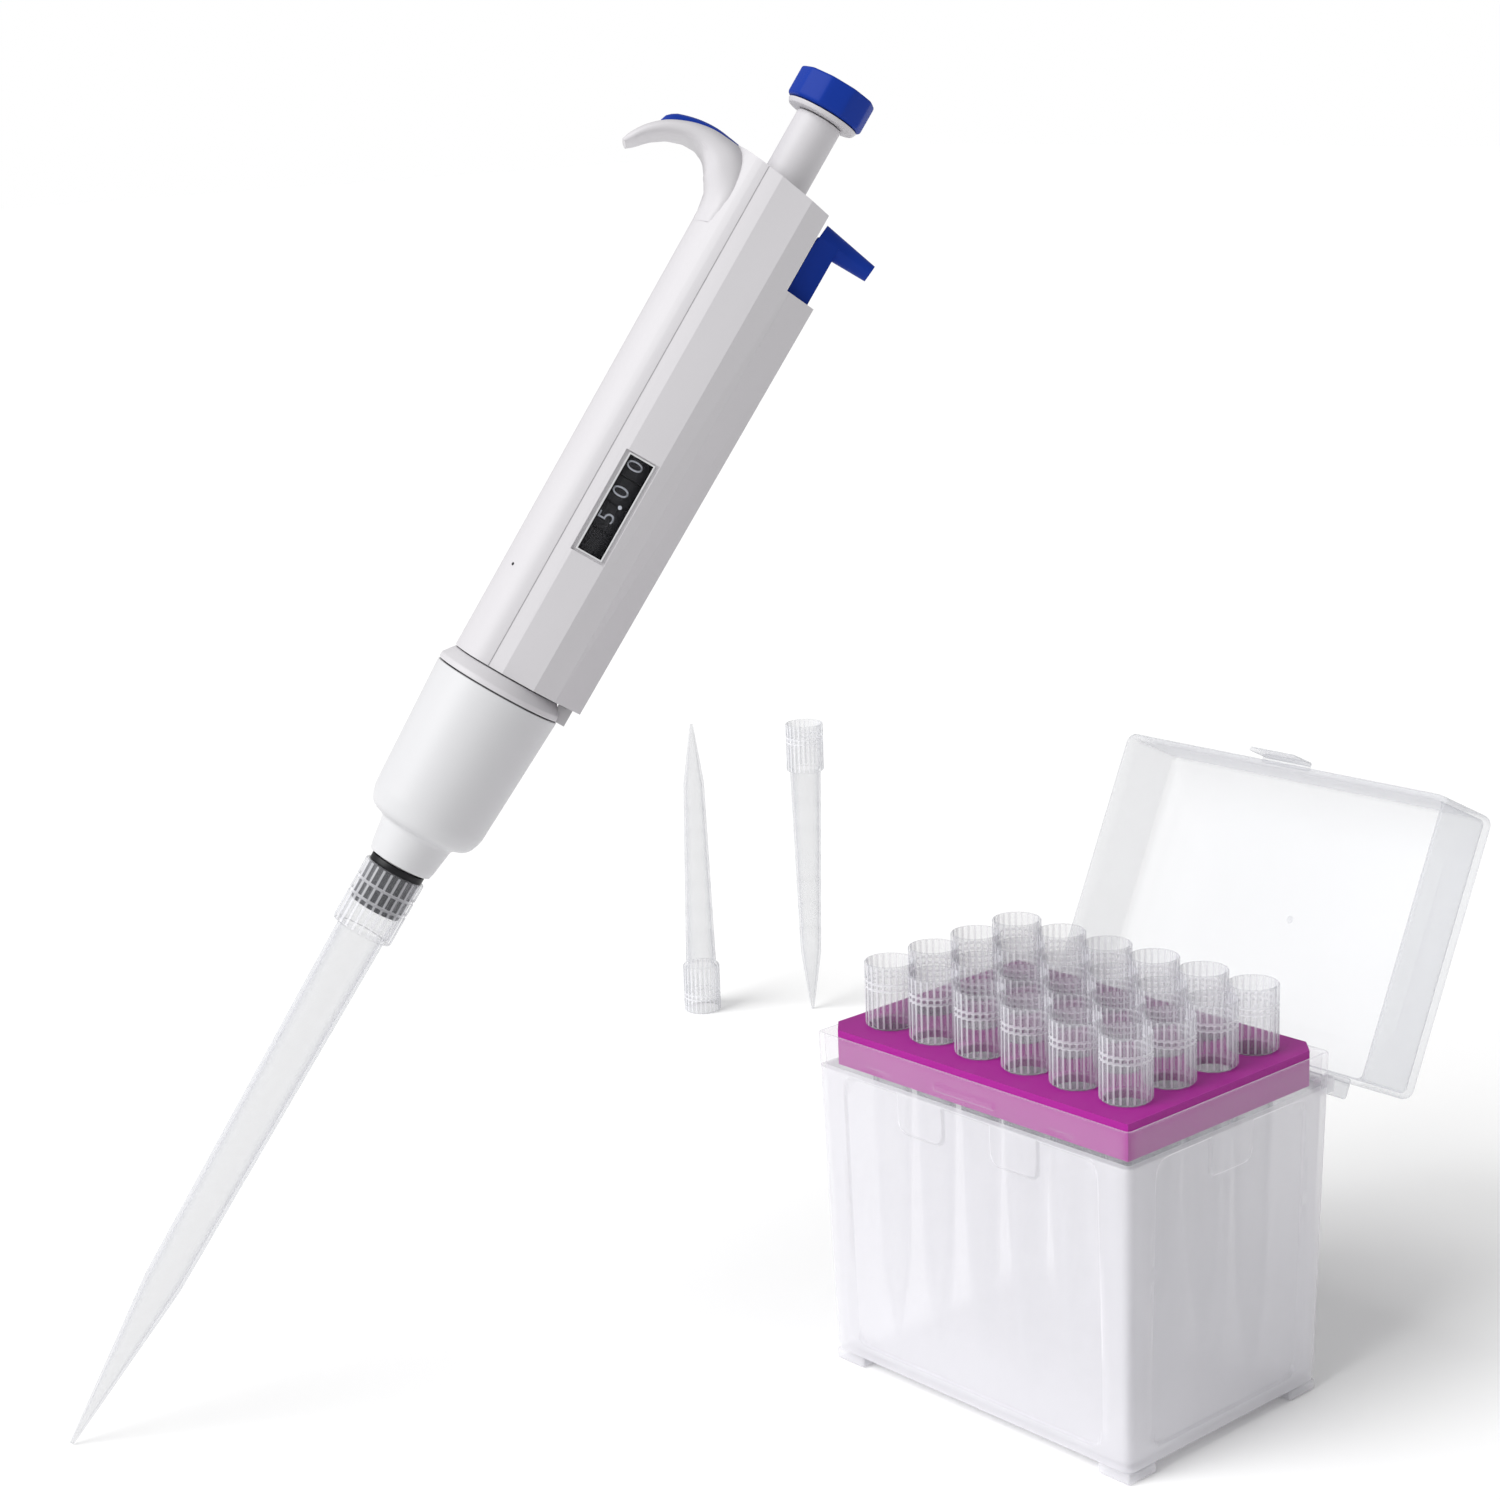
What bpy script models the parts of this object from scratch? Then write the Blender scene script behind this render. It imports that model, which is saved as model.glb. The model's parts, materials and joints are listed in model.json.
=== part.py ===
"""A hand-held air-displacement pipette, its rack of disposable tips and two loose tips.

Metres, +Z up, standing on Z = 0, with the origin under the middle of the whole set. The rack's
long side lies along X and its lid is hinged on the +Y side. The pipette is modelled upright in
its own frame, with the tip's point at the origin and its axis along +Z, and then leans as its
frame empty says. Places on the floor are given from the rack's middle.
"""

import math

import bmesh
import bpy
from mathutils import Matrix, Vector

MM = 0.001
GAP = 0.3  # clearance between touching pieces, mm; every size below is in mm

# Driving dimensions: rack
RACK_MIDDLE = (130.9, 24.9, 0.0)
PITCH = 17.0
COLUMNS = 6
ROWS = 4
RACK_LENGTH = 113.7
RACK_WIDTH = 82.2
RACK_HEIGHT = 97.7
RACK_DRAFT = 2.4  # how far the foot is set in from the rim, each side
WALL = 1.5
FOOT_SIZE = 11.0
FOOT_HEIGHT = 2.9
FLOOR_TOP = 4.3
RIM_ABOVE_RACK = 20.0  # how far the tips' rims stand above the rack's rim

# Driving dimensions: tips, as radii and heights above the point
RACK_TIP_LENGTH = 113.0
RACK_TIP_COLLAR = 18.1
MOUNTED_TIP_LENGTH = 180.0
TIP_SIDES = 12

# Driving dimensions: lid, closed, measured from its hinge axis
HINGE_BEHIND = 2.6  # hinge axis behind the rack's back wall
HINGE_BELOW = 11.0  # hinge axis below the rack's rim
LID_HEIGHT = 26.0
LID_OPEN_ANGLE = 116.0
BARREL_RADIUS = 2.3
PIN_RADIUS = 1.1

# Driving dimensions: pipette, along its own axis from the tip's point
PIPETTE_POINT = (-165.65, -220.36, 0.35)
LEAN_HEADING = 65.43
LEAN_ANGLE = 33.37
SPIN_ANGLE = -16.78
SLEEVE_TOP = 236.0
BODY_BOTTOM = 241.4
BODY_TOP = 390.4
TOP_SLOPE = 9.1  # degrees that the body's top falls towards the ejector
NOTCH_FLOOR = 365.7
NOTCH_WALL = 14.4
STEM_RADIUS = 6.5
KNOB_BOTTOM = 412.0
KNOB_TOP = 420.4
KNOB_RADIUS = 11.3
WHEEL_PITCH = 7.6
FIRST_WHEEL = 283.2
WHEEL_HEIGHT = 7.2
SEAM_X = -5.4
BODY_DEPTH = 15.2

LOOSE_TIP_POINT_UP = (-311.6, 135.3)
LOOSE_TIP_POINT_DOWN = (-280.0, 164.0)

FRONT_OUTLINE = [  # the faceted half of the body's section, from the seam round to the side facet
    (SEAM_X + GAP, BODY_DEPTH - 1.2),
    (-1.1, BODY_DEPTH + 0.3),
    (8.3, BODY_DEPTH),
    (14.7, 12.3),
    (22.3, 5.2),
]
SHELL_WALL = 1.7


def clear_scene():
    for item in list(bpy.data.objects):
        bpy.data.objects.remove(item, do_unlink=True)


clear_scene()
PARTS = bpy.data.collections.new("pipette_set")
CUTTERS = bpy.data.collections.new("cutters")
for group in (PARTS, CUTTERS):
    bpy.context.scene.collection.children.link(group)


def make_frame(name, location, rotation, parent=None):
    """An empty that carries a group of parts."""
    empty = bpy.data.objects.new(name, None)
    empty.parent = parent
    empty.matrix_local = Matrix.Translation(Vector(location) * MM) @ rotation
    PARTS.objects.link(empty)
    return empty


RACK = make_frame("rack_frame", RACK_MIDDLE, Matrix())

LEAN = (
    Matrix.Rotation(math.radians(LEAN_HEADING), 4, "Z")
    @ Matrix.Rotation(math.radians(LEAN_ANGLE), 4, "Y")
    @ Matrix.Rotation(math.radians(SPIN_ANGLE), 4, "Z")
)
PIPETTE = make_frame("pipette_frame", PIPETTE_POINT, LEAN, RACK)
HINGE_Y = RACK_WIDTH / 2 + HINGE_BEHIND
HINGE_Z = RACK_HEIGHT - HINGE_BELOW
LID_OPENED = Matrix.Rotation(math.radians(-LID_OPEN_ANGLE), 4, "X")
LID_FRAME = make_frame("lid_frame", (0, HINGE_Y, HINGE_Z), LID_OPENED, RACK)


def finish_material(name, colour, roughness, metallic=0.0, alpha=1.0):
    material = bpy.data.materials.new(name)
    material.use_nodes = True
    shader = material.node_tree.nodes["Principled BSDF"]
    shader.inputs["Base Color"].default_value = (*colour, 1.0)
    shader.inputs["Roughness"].default_value = roughness
    shader.inputs["Metallic"].default_value = metallic
    shader.inputs["Alpha"].default_value = alpha
    return material


WHITE = finish_material("white_housing", (0.80, 0.79, 0.80), 0.40)
SLEEVE_WHITE = finish_material("white_sleeve", (0.84, 0.84, 0.85), 0.38)
BLUE = finish_material("blue_control", (0.01, 0.04, 0.30), 0.35)
BLACK = finish_material("black_seal", (0.012, 0.012, 0.014), 0.45)
DARK = finish_material("dark_drum", (0.01, 0.01, 0.018), 0.5)
STEEL = finish_material("steel", (0.60, 0.60, 0.62), 0.28, metallic=1.0)
SEAL = finish_material("seal_rubber", (0.05, 0.05, 0.05), 0.7)
LENS = finish_material("clear_lens", (0.9, 0.9, 0.92), 0.08, alpha=0.3)
CLEAR = finish_material("clear_tip", (0.90, 0.91, 0.94), 0.18, alpha=0.4)
FROSTED = finish_material("frosted_box", (0.88, 0.88, 0.92), 0.45, alpha=0.5)
PURPLE = finish_material("purple_deck", (0.32, 0.01, 0.27), 0.42)
GREY = finish_material("grey_inner", (0.45, 0.46, 0.48), 0.45)


def place(obj, material, parent=None, collection=None):
    (collection or PARTS).objects.link(obj)
    if material:
        obj.data.materials.append(material)
    obj.parent = parent or RACK
    return obj


def object_from_bmesh(name, bm, material, parent=None, collection=None, smooth=True):
    bmesh.ops.scale(bm, vec=(MM, MM, MM), verts=bm.verts)
    mesh = bpy.data.meshes.new(name)
    bm.to_mesh(mesh)
    bm.free()
    if smooth:
        mesh.shade_smooth()
        mesh.set_sharp_from_angle(angle=math.radians(32))
    return place(bpy.data.objects.new(name, mesh), material, parent, collection)


def as_cutter(obj):
    obj.hide_render = True
    obj.display_type = "WIRE"
    return obj


def boolean(obj, tool, operation="DIFFERENCE"):
    modifier = obj.modifiers.new(operation.title(), "BOOLEAN")
    modifier.operation = operation
    modifier.solver = "EXACT"
    modifier.object = tool
    return obj


def turned(name, profile, material, parent=None, sides=24, closed=True, location=(0, 0, 0)):
    """A profile of (radius, height) points, down the outer side and back up the inner, screwed."""
    bm = bmesh.new()
    points = [bm.verts.new((radius, 0, height)) for radius, height in profile]
    for start, end in zip(points, points[1:] + points[:1] if closed else points[1:]):
        bm.edges.new((start, end))
    obj = object_from_bmesh(name, bm, material, parent, smooth=False)
    obj.location = Vector(location) * MM
    screw = obj.modifiers.new("Screw", "SCREW")
    screw.axis = "Z"
    screw.steps = screw.render_steps = sides
    screw.use_smooth_shade = True
    screw.use_merge_vertices = True
    screw.merge_threshold = 0.00001
    return obj


def solid_turned(name, profile, material, parent=None, sides=24):
    """A turned piece with no bore: the profile starts and ends on the axis."""
    top = profile[0][1]
    bottom = profile[-1][1]
    return turned(name, [(0, top), *profile, (0, bottom)], material, parent, sides, closed=False)


def ring(name, outer, inner, bottom, top, material, parent=None, sides=24):
    profile = [(outer, top), (outer, bottom), (inner, bottom), (inner, top)]
    return turned(name, profile, material, parent, sides)


def box_bmesh(low, high, foot_inset=0.0):
    """A box from its low and high corners, its foot drawn in by foot_inset on all four sides."""
    bm = bmesh.new()
    bmesh.ops.create_cube(bm, size=1.0)
    low, high = Vector(low), Vector(high)
    middle = (low + high) / 2
    for vertex in bm.verts:
        at_foot = vertex.co.z < 0
        vertex.co = middle + Vector(a * b for a, b in zip(vertex.co, high - low))
        if at_foot:
            vertex.co.x -= math.copysign(foot_inset, vertex.co.x - middle.x)
            vertex.co.y -= math.copysign(foot_inset, vertex.co.y - middle.y)
    return bm


def box(name, low, high, material, parent=None, foot_inset=0.0):
    bm = box_bmesh(low, high, foot_inset)
    return object_from_bmesh(name, bm, material, parent, smooth=False)


def cut_box(obj, low, high, parent=None, foot_inset=0.0, operation="DIFFERENCE"):
    bm = box_bmesh(low, high, foot_inset)
    tool = object_from_bmesh(obj.name + "_tool", bm, None, parent, CUTTERS, smooth=False)
    return boolean(obj, as_cutter(tool), operation)


def rod_bmesh(start, end, radius, sides, end_radius=None):
    """A cylinder or cone from start to end."""
    start, end = Vector(start), Vector(end)
    along = end - start
    turn = along.to_track_quat("Z", "Y").to_matrix().to_4x4()
    bm = bmesh.new()
    bmesh.ops.create_cone(
        bm,
        cap_ends=True,
        segments=sides,
        radius1=radius,
        radius2=radius if end_radius is None else end_radius,
        depth=along.length,
        matrix=Matrix.Translation((start + end) / 2) @ turn,
    )
    return bm


def cut_rod(obj, start, end, radius, parent=None, sides=16, end_radius=None, operation="DIFFERENCE"):
    bm = rod_bmesh(start, end, radius, sides, end_radius)
    tool = object_from_bmesh(obj.name + "_tool", bm, None, parent, CUTTERS, smooth=False)
    return boolean(obj, as_cutter(tool), operation)


def prism_bmesh(outline, bottom, top, widen=0.0):
    """An outline of (x, y) points raised from bottom to top; widen stretches the top in X."""
    bm = bmesh.new()
    face = bm.faces.new([bm.verts.new((x, y, bottom)) for x, y in outline])
    raised = bmesh.ops.extrude_face_region(bm, geom=[face])
    for vertex in (item for item in raised["geom"] if isinstance(item, bmesh.types.BMVert)):
        vertex.co.z = top
        vertex.co.x *= 1.0 + widen
    bmesh.ops.recalc_face_normals(bm, faces=bm.faces)
    return bm


def offset_outline(outline, distance):
    """An open outline moved to its right by distance, with mitred corners."""
    moved = []
    for index, point in enumerate(outline):
        before = Vector(outline[max(index - 1, 0)])
        here = Vector(point)
        after = Vector(outline[min(index + 1, len(outline) - 1)])
        normals = []
        for start, end in ((before, here), (here, after)):
            run = end - start
            if run.length > 1e-9:
                normals.append(Vector((run.y, -run.x)).normalized())
        middle = sum(normals, Vector((0, 0))).normalized()
        moved.append(tuple(here + middle * (distance / middle.dot(normals[0]))))
    return moved


# ---------------------------------------------------------------- tips


def tip_profile(length, collar_radius, collar_length, tube_radius, break_height, break_radius, wall):
    """The section of a disposable tip, open at both ends, from its rim down to its point."""
    point_radius = 0.55
    step = length - collar_length
    return [
        (collar_radius, length),
        (collar_radius, step),
        (tube_radius, step),
        (break_radius, break_height),
        (point_radius, 0.0),
        (point_radius - 0.3, 0.0),
        (break_radius - wall, break_height + 1.0),
        (tube_radius - wall, step),
        (collar_radius - wall, step + 1.5),
        (collar_radius - wall, length),
    ]


RACK_TIP = tip_profile(RACK_TIP_LENGTH, 7.05, RACK_TIP_COLLAR, 5.8, 23.0, 3.9, 0.75)
MOUNTED_TIP = tip_profile(MOUNTED_TIP_LENGTH, 8.7, 18.8, 6.9, 51.0, 5.35, 0.85)


def upside_down(profile, length):
    """The same section standing on its rim, run down its outer side again."""
    turned_over = [(radius, length - height) for radius, height in profile]
    return turned_over[::-1]


RIM_HEIGHT = RACK_HEIGHT + RIM_ABOVE_RACK
TIP_FOOT = RIM_HEIGHT - RACK_TIP_LENGTH


def tip_position(column, row):
    return (column - (COLUMNS - 1) / 2) * PITCH, (row - (ROWS - 1) / 2) * PITCH


def build_rack_tips():
    for row in range(ROWS):
        for column in range(COLUMNS):
            x, y = tip_position(column, row)
            name = f"rack_tip_{'ABCD'[row]}{column + 1}"
            turned(name, RACK_TIP, CLEAR, sides=TIP_SIDES, location=(x, y, TIP_FOOT))


def build_loose_tips():
    x, y = LOOSE_TIP_POINT_DOWN
    turned("loose_tip_right", RACK_TIP, CLEAR, sides=TIP_SIDES, location=(x, y, 0))
    x, y = LOOSE_TIP_POINT_UP
    profile = upside_down(RACK_TIP, RACK_TIP_LENGTH)
    turned("loose_tip_left", profile, CLEAR, sides=TIP_SIDES, location=(x, y, 0))


# ---------------------------------------------------------------- rack

DECK_TOP = RIM_HEIGHT - RACK_TIP_COLLAR - GAP
DECK_PLATE = 2.0
SKIRT_FOOT = RACK_HEIGHT - 8.3
DECK_CLEARANCE = 0.4
DECK_CORNER = 5.0


def half_length(height):
    """Half the rack's outer length at a height: the sides are drafted."""
    return RACK_LENGTH / 2 - RACK_DRAFT * (1 - height / RACK_HEIGHT)


def half_width(height):
    return RACK_WIDTH / 2 - RACK_DRAFT * (1 - height / RACK_HEIGHT)


def add_ear(base, x_low, x_high):
    """One ear of the base's hinge, standing out from the back wall round the pin."""
    low = (x_low, half_width(HINGE_Z) - 1.0, HINGE_Z - BARREL_RADIUS)
    high = (x_high, HINGE_Y + BARREL_RADIUS, HINGE_Z + BARREL_RADIUS)
    cut_box(base, low, high, operation="UNION")


HINGE_CENTRES = (-47.0, 47.0)
ARM_HALF = 4.0
EAR_WIDTH = 3.0


def build_base():
    length, width = RACK_LENGTH / 2, RACK_WIDTH / 2
    base = box("rack_base", (-length, -width, 0), (length, width, RACK_HEIGHT), FROSTED, None, RACK_DRAFT)
    for centre in HINGE_CENTRES:
        for side in (-1, 1):
            near = centre + side * (ARM_HALF + GAP)
            far = near + side * EAR_WIDTH
            add_ear(base, min(near, far), max(near, far))
    catch_width, catch_proud = 11.0, 0.6
    cut_box(
        base,
        (-catch_width, -width - catch_proud, RACK_HEIGHT - 5.5),
        (catch_width, -width + 1.0, RACK_HEIGHT - 3.5),
        operation="UNION",
    )
    inner_length, inner_width = length - WALL, width - WALL
    taper = RACK_DRAFT * (1 - FLOOR_TOP / RACK_HEIGHT)
    cut_box(
        base,
        (-inner_length, -inner_width, FLOOR_TOP),
        (inner_length, inner_width, RACK_HEIGHT + 1.0),
        foot_inset=taper,
    )
    ledge_top = SKIRT_FOOT - GAP
    ledge_length, ledge_width = half_length(ledge_top) - WALL, half_width(ledge_top) - WALL
    ledge_reach, ledge_root, ledge_deep = 2.2, 0.8, 3.0
    for side in (-1, 1):
        inner_x, outer_x = side * (ledge_length - ledge_reach), side * (ledge_length + ledge_root)
        inner_y, outer_y = side * (ledge_width - ledge_reach), side * (ledge_width + ledge_root)
        low, high = ledge_top - ledge_deep, ledge_top
        end_low = (min(inner_x, outer_x), -25, low)
        end_high = (max(inner_x, outer_x), 25, high)
        cut_box(base, end_low, end_high, operation="UNION")
        side_low = (-38, min(inner_y, outer_y), low)
        side_high = (38, max(inner_y, outer_y), high)
        cut_box(base, side_low, side_high, operation="UNION")
    foot_x, foot_y = length - RACK_DRAFT - FOOT_SIZE, width - RACK_DRAFT - FOOT_SIZE
    cut_box(base, (-foot_x, -width - 1, -1), (foot_x, width + 1, FOOT_HEIGHT))
    cut_box(base, (-length - 1, -foot_y, -1), (length + 1, foot_y, FOOT_HEIGHT))
    for centre in HINGE_CENTRES:
        reach = ARM_HALF + EAR_WIDTH + 2
        start = (centre - reach, HINGE_Y, HINGE_Z)
        end = (centre + reach, HINGE_Y, HINGE_Z)
        cut_rod(base, start, end, PIN_RADIUS + GAP, sides=12)
    return base


def build_hinge_pins():
    for centre, side in zip(HINGE_CENTRES, ("left", "right")):
        reach = ARM_HALF + EAR_WIDTH
        bm = rod_bmesh(
            (centre - reach, HINGE_Y, HINGE_Z), (centre + reach, HINGE_Y, HINGE_Z), PIN_RADIUS, 10
        )
        object_from_bmesh(f"hinge_pin_{side}", bm, FROSTED)


def chamfered_outline(length, width, corner):
    """A rectangle whose front-left and back-right corners are cut off."""
    return [
        (-length + corner, -width),
        (length, -width),
        (length, width - corner),
        (length - corner, width),
        (-length, width),
        (-length, -width + corner),
    ]


def build_deck():
    length = half_length(SKIRT_FOOT) - WALL - DECK_CLEARANCE
    width = half_width(SKIRT_FOOT) - WALL - DECK_CLEARANCE
    bm = prism_bmesh(chamfered_outline(length, width, DECK_CORNER), SKIRT_FOOT, DECK_TOP)
    deck = object_from_bmesh("deck", bm, PURPLE, smooth=False)
    skirt_wall = 1.2
    inner = chamfered_outline(length - skirt_wall, width - skirt_wall, DECK_CORNER)
    bm = prism_bmesh(inner, SKIRT_FOOT - 1, DECK_TOP - DECK_PLATE)
    tool = object_from_bmesh("deck_hollow", bm, None, None, CUTTERS, smooth=False)
    boolean(deck, as_cutter(tool))
    hole_radius = 6.3
    for row in range(ROWS):
        for column in range(COLUMNS):
            x, y = tip_position(column, row)
            cut_rod(deck, (x, y, DECK_TOP - 4), (x, y, DECK_TOP + 1), hole_radius, sides=TIP_SIDES)
    return deck


def build_lid():
    """The lid is drawn closed round its hinge axis at the origin, then opened by its frame."""
    half = RACK_LENGTH / 2
    back = -HINGE_BEHIND  # +Y points away from the rack, so the lid lies towards -Y
    front = back - RACK_WIDTH
    rim = HINGE_BELOW + GAP
    roof = rim + LID_HEIGHT
    lid = box("lid", (-half, front, rim), (half, back, roof), FROSTED, LID_FRAME)
    for centre in HINGE_CENTRES:
        arm_low = (centre - ARM_HALF, back - 1.0, rim + 0.5)
        arm_high = (centre + ARM_HALF, BARREL_RADIUS, rim + 3.0)
        cut_box(lid, arm_low, arm_high, LID_FRAME, operation="UNION")
        arm_low = (centre - ARM_HALF, -BARREL_RADIUS, 0.0)
        arm_high = (centre + ARM_HALF, BARREL_RADIUS, rim + 3.0)
        cut_box(lid, arm_low, arm_high, LID_FRAME, operation="UNION")
        start, end = (centre - ARM_HALF, 0, 0), (centre + ARM_HALF, 0, 0)
        cut_rod(lid, start, end, BARREL_RADIUS, LID_FRAME, sides=16, operation="UNION")
        start = (centre - ARM_HALF - 1, 0, 0)
        end = (centre + ARM_HALF + 1, 0, 0)
        cut_rod(lid, start, end, PIN_RADIUS + GAP, LID_FRAME, sides=12)
    tab_half, tab_offset, tab_thick = 8.0, 0.9, 1.3
    cut_box(
        lid,
        (-tab_half, front - tab_offset - tab_thick, rim - 5.5),
        (tab_half, front - tab_offset, rim + 4.0),
        LID_FRAME,
        operation="UNION",
    )
    cut_box(
        lid,
        (-tab_half, front - tab_offset - tab_thick, rim + 1.5),
        (tab_half, front + 1.0, rim + 4.0),
        LID_FRAME,
        operation="UNION",
    )
    cut_box(
        lid,
        (-half + WALL, front + WALL, rim - 1),
        (half - WALL, back - WALL, roof - WALL),
        LID_FRAME,
    )
    return lid


# ---------------------------------------------------------------- pipette: lower end


def build_nozzle():
    turned(
        "nozzle",
        [(9.5, 203.0), (9.5, 200.2), (6.2, 200.2), (6.2, 182.2), (5.6, 169.0), (1.5, 169.0), (1.5, 203.0)],
        WHITE,
        PIPETTE,
    )
    turned(
        "nozzle_seal",
        [(7.8, 181.9), (7.8, 180.2), (7.45, 179.6), (7.2, 168.4), (5.95, 168.4), (6.55, 181.9)],
        BLACK,
        PIPETTE,
    )
    turned(
        "cylinder",
        [
            (12.6, 243.0),
            (12.6, 199.9),
            (9.8, 199.9),
            (9.8, 203.3),
            (2.0, 203.3),
            (2.0, 206.0),
            (11.1, 206.0),
            (11.1, 243.0),
        ],
        GREY,
        PIPETTE,
        sides=32,
    )


def build_piston():
    solid_turned(
        "piston",
        [(10.0, 240.0), (10.0, 228.3), (8.6, 228.3), (8.6, 224.9), (10.0, 224.9), (10.0, 223.0)],
        GREY,
        PIPETTE,
        sides=28,
    )
    ring("piston_seal", 10.8, 8.9, 225.2, 228.0, SEAL, PIPETTE, sides=28)
    solid_turned(
        "piston_rod",
        [(2.5, 329.8), (2.5, 279.4), (6.6, 279.4), (6.6, 277.0), (2.5, 277.0), (2.5, 240.3)],
        STEEL,
        PIPETTE,
        sides=16,
    )


COIL_POINTS = 10  # points to a turn of a spring


def coil(name, radius, wire, bottom, top, turns, centre=(0, 0)):
    """A compression spring: a helix of round wire in the pipette's frame."""
    curve = bpy.data.curves.new(name, "CURVE")
    curve.dimensions = "3D"
    curve.bevel_depth = wire * MM
    curve.bevel_resolution = 0
    curve.use_fill_caps = True
    spline = curve.splines.new("POLY")
    steps = turns * COIL_POINTS
    spline.points.add(steps)
    for index in range(steps + 1):
        angle = 2 * math.pi * index / COIL_POINTS
        height = bottom + wire + (top - bottom - 2 * wire) * index / steps
        x, y = centre[0] + radius * math.cos(angle), centre[1] + radius * math.sin(angle)
        spot = Vector((x, y, height)) * MM
        spline.points[index].co = (*spot, 1.0)
    return place(bpy.data.objects.new(name, curve), STEEL, PIPETTE)


SEAT_TOP = 255.0


def build_springs():
    coil("piston_spring", 5.0, 0.55, SEAT_TOP + GAP, 276.7, 5)
    ring("spring_seat", 12.4, 3.0, SEAT_TOP - 2.6, SEAT_TOP, GREY, PIPETTE, sides=24)
    coil("blowout_spring", 7.0, 0.7, 244.2, SEAT_TOP - 2.6 - GAP, 3)


def build_collar_ring():
    """The bevelled ring between the handle and the ejector sleeve."""
    collar = turned(
        "collar_ring",
        [(15.6, 241.0), (18.0, 237.9), (18.06, 236.4), (13.0, 236.4), (13.0, 241.0)],
        WHITE,
        PIPETTE,
        sides=40,
    )
    cut_box(collar, (15.0, -3.0, 230.0), (25.0, 3.0, 245.0), PIPETTE)


def build_ejector():
    sleeve = turned(
        "ejector_sleeve",
        [
            (18.06, SLEEVE_TOP),
            (16.25, 197.6),
            (15.6, 195.2),
            (10.8, 192.4),
            (10.1, 191.3),
            (9.4, 184.2),
            (8.9, 182.4),
            (8.2, 182.4),
            (8.6, 193.8),
            (14.2, 197.0),
            (14.8, 199.0),
            (16.5, SLEEVE_TOP),
        ],
        SLEEVE_WHITE,
        PIPETTE,
        sides=40,
    )
    button = box("ejector_button", (14.75, -3.4, 347.5), (21.2, 3.4, 383.0), BLUE, PIPETTE)
    cut_rod(button, (15.2, 0, 383.4), (31.7, 0, 381.8), 3.9, PIPETTE, 20, 2.4, "UNION")
    arm = box("ejector_arm", (18.4, -2.6, 236.6), (20.2, 2.6, 347.2), WHITE, PIPETTE)
    cut_box(arm, (16.2, -2.6, SLEEVE_TOP + GAP), (20.2, 2.6, 240.8), PIPETTE, operation="UNION")
    coil("ejector_spring", 1.4, 0.3, 312.0, 334.0, 6, centre=(15.6, 4.4))
    return sleeve


# ---------------------------------------------------------------- pipette: handle


def closed_outline(half):
    """The half outline at +Y joined to its mirror image at -Y, as one closed loop."""
    return half + [(x, -y) for x, y in reversed(half)]


FRONT_INNER = offset_outline(FRONT_OUTLINE, SHELL_WALL)


def clipped_outline(outline, limit):
    """The part of the outline with X below limit."""
    kept = [outline[0]]
    for (x0, y0), (x1, y1) in zip(outline, outline[1:]):
        if x1 <= limit:
            kept.append((x1, y1))
            continue
        share = (limit - x0) / (x1 - x0)
        kept.append((limit, y0 + (y1 - y0) * share))
        break
    return kept


BODY_WIDEN = 0.05  # how much wider the body is at its top than at its foot
ROOF = 2.2


def cut_slope(obj, height):
    """Cuts off what stands above the body's sloping top."""
    bm = box_bmesh((-60, -40, 0), (60, 40, 60))
    turn = Matrix.Rotation(math.radians(TOP_SLOPE), 4, "Y")
    bmesh.ops.transform(bm, matrix=Matrix.Translation((0, 0, height)) @ turn, verts=bm.verts)
    tool = object_from_bmesh(obj.name + "_slope", bm, None, PIPETTE, CUTTERS, smooth=False)
    return boolean(obj, as_cutter(tool))


WINDOW_LOW = (-2.4, 278.5)
WINDOW_HIGH = (8.9, 309.5)
OPENING_LOW = (-0.1, 280.1)
OPENING_HIGH = (6.8, 308.2)


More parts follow.
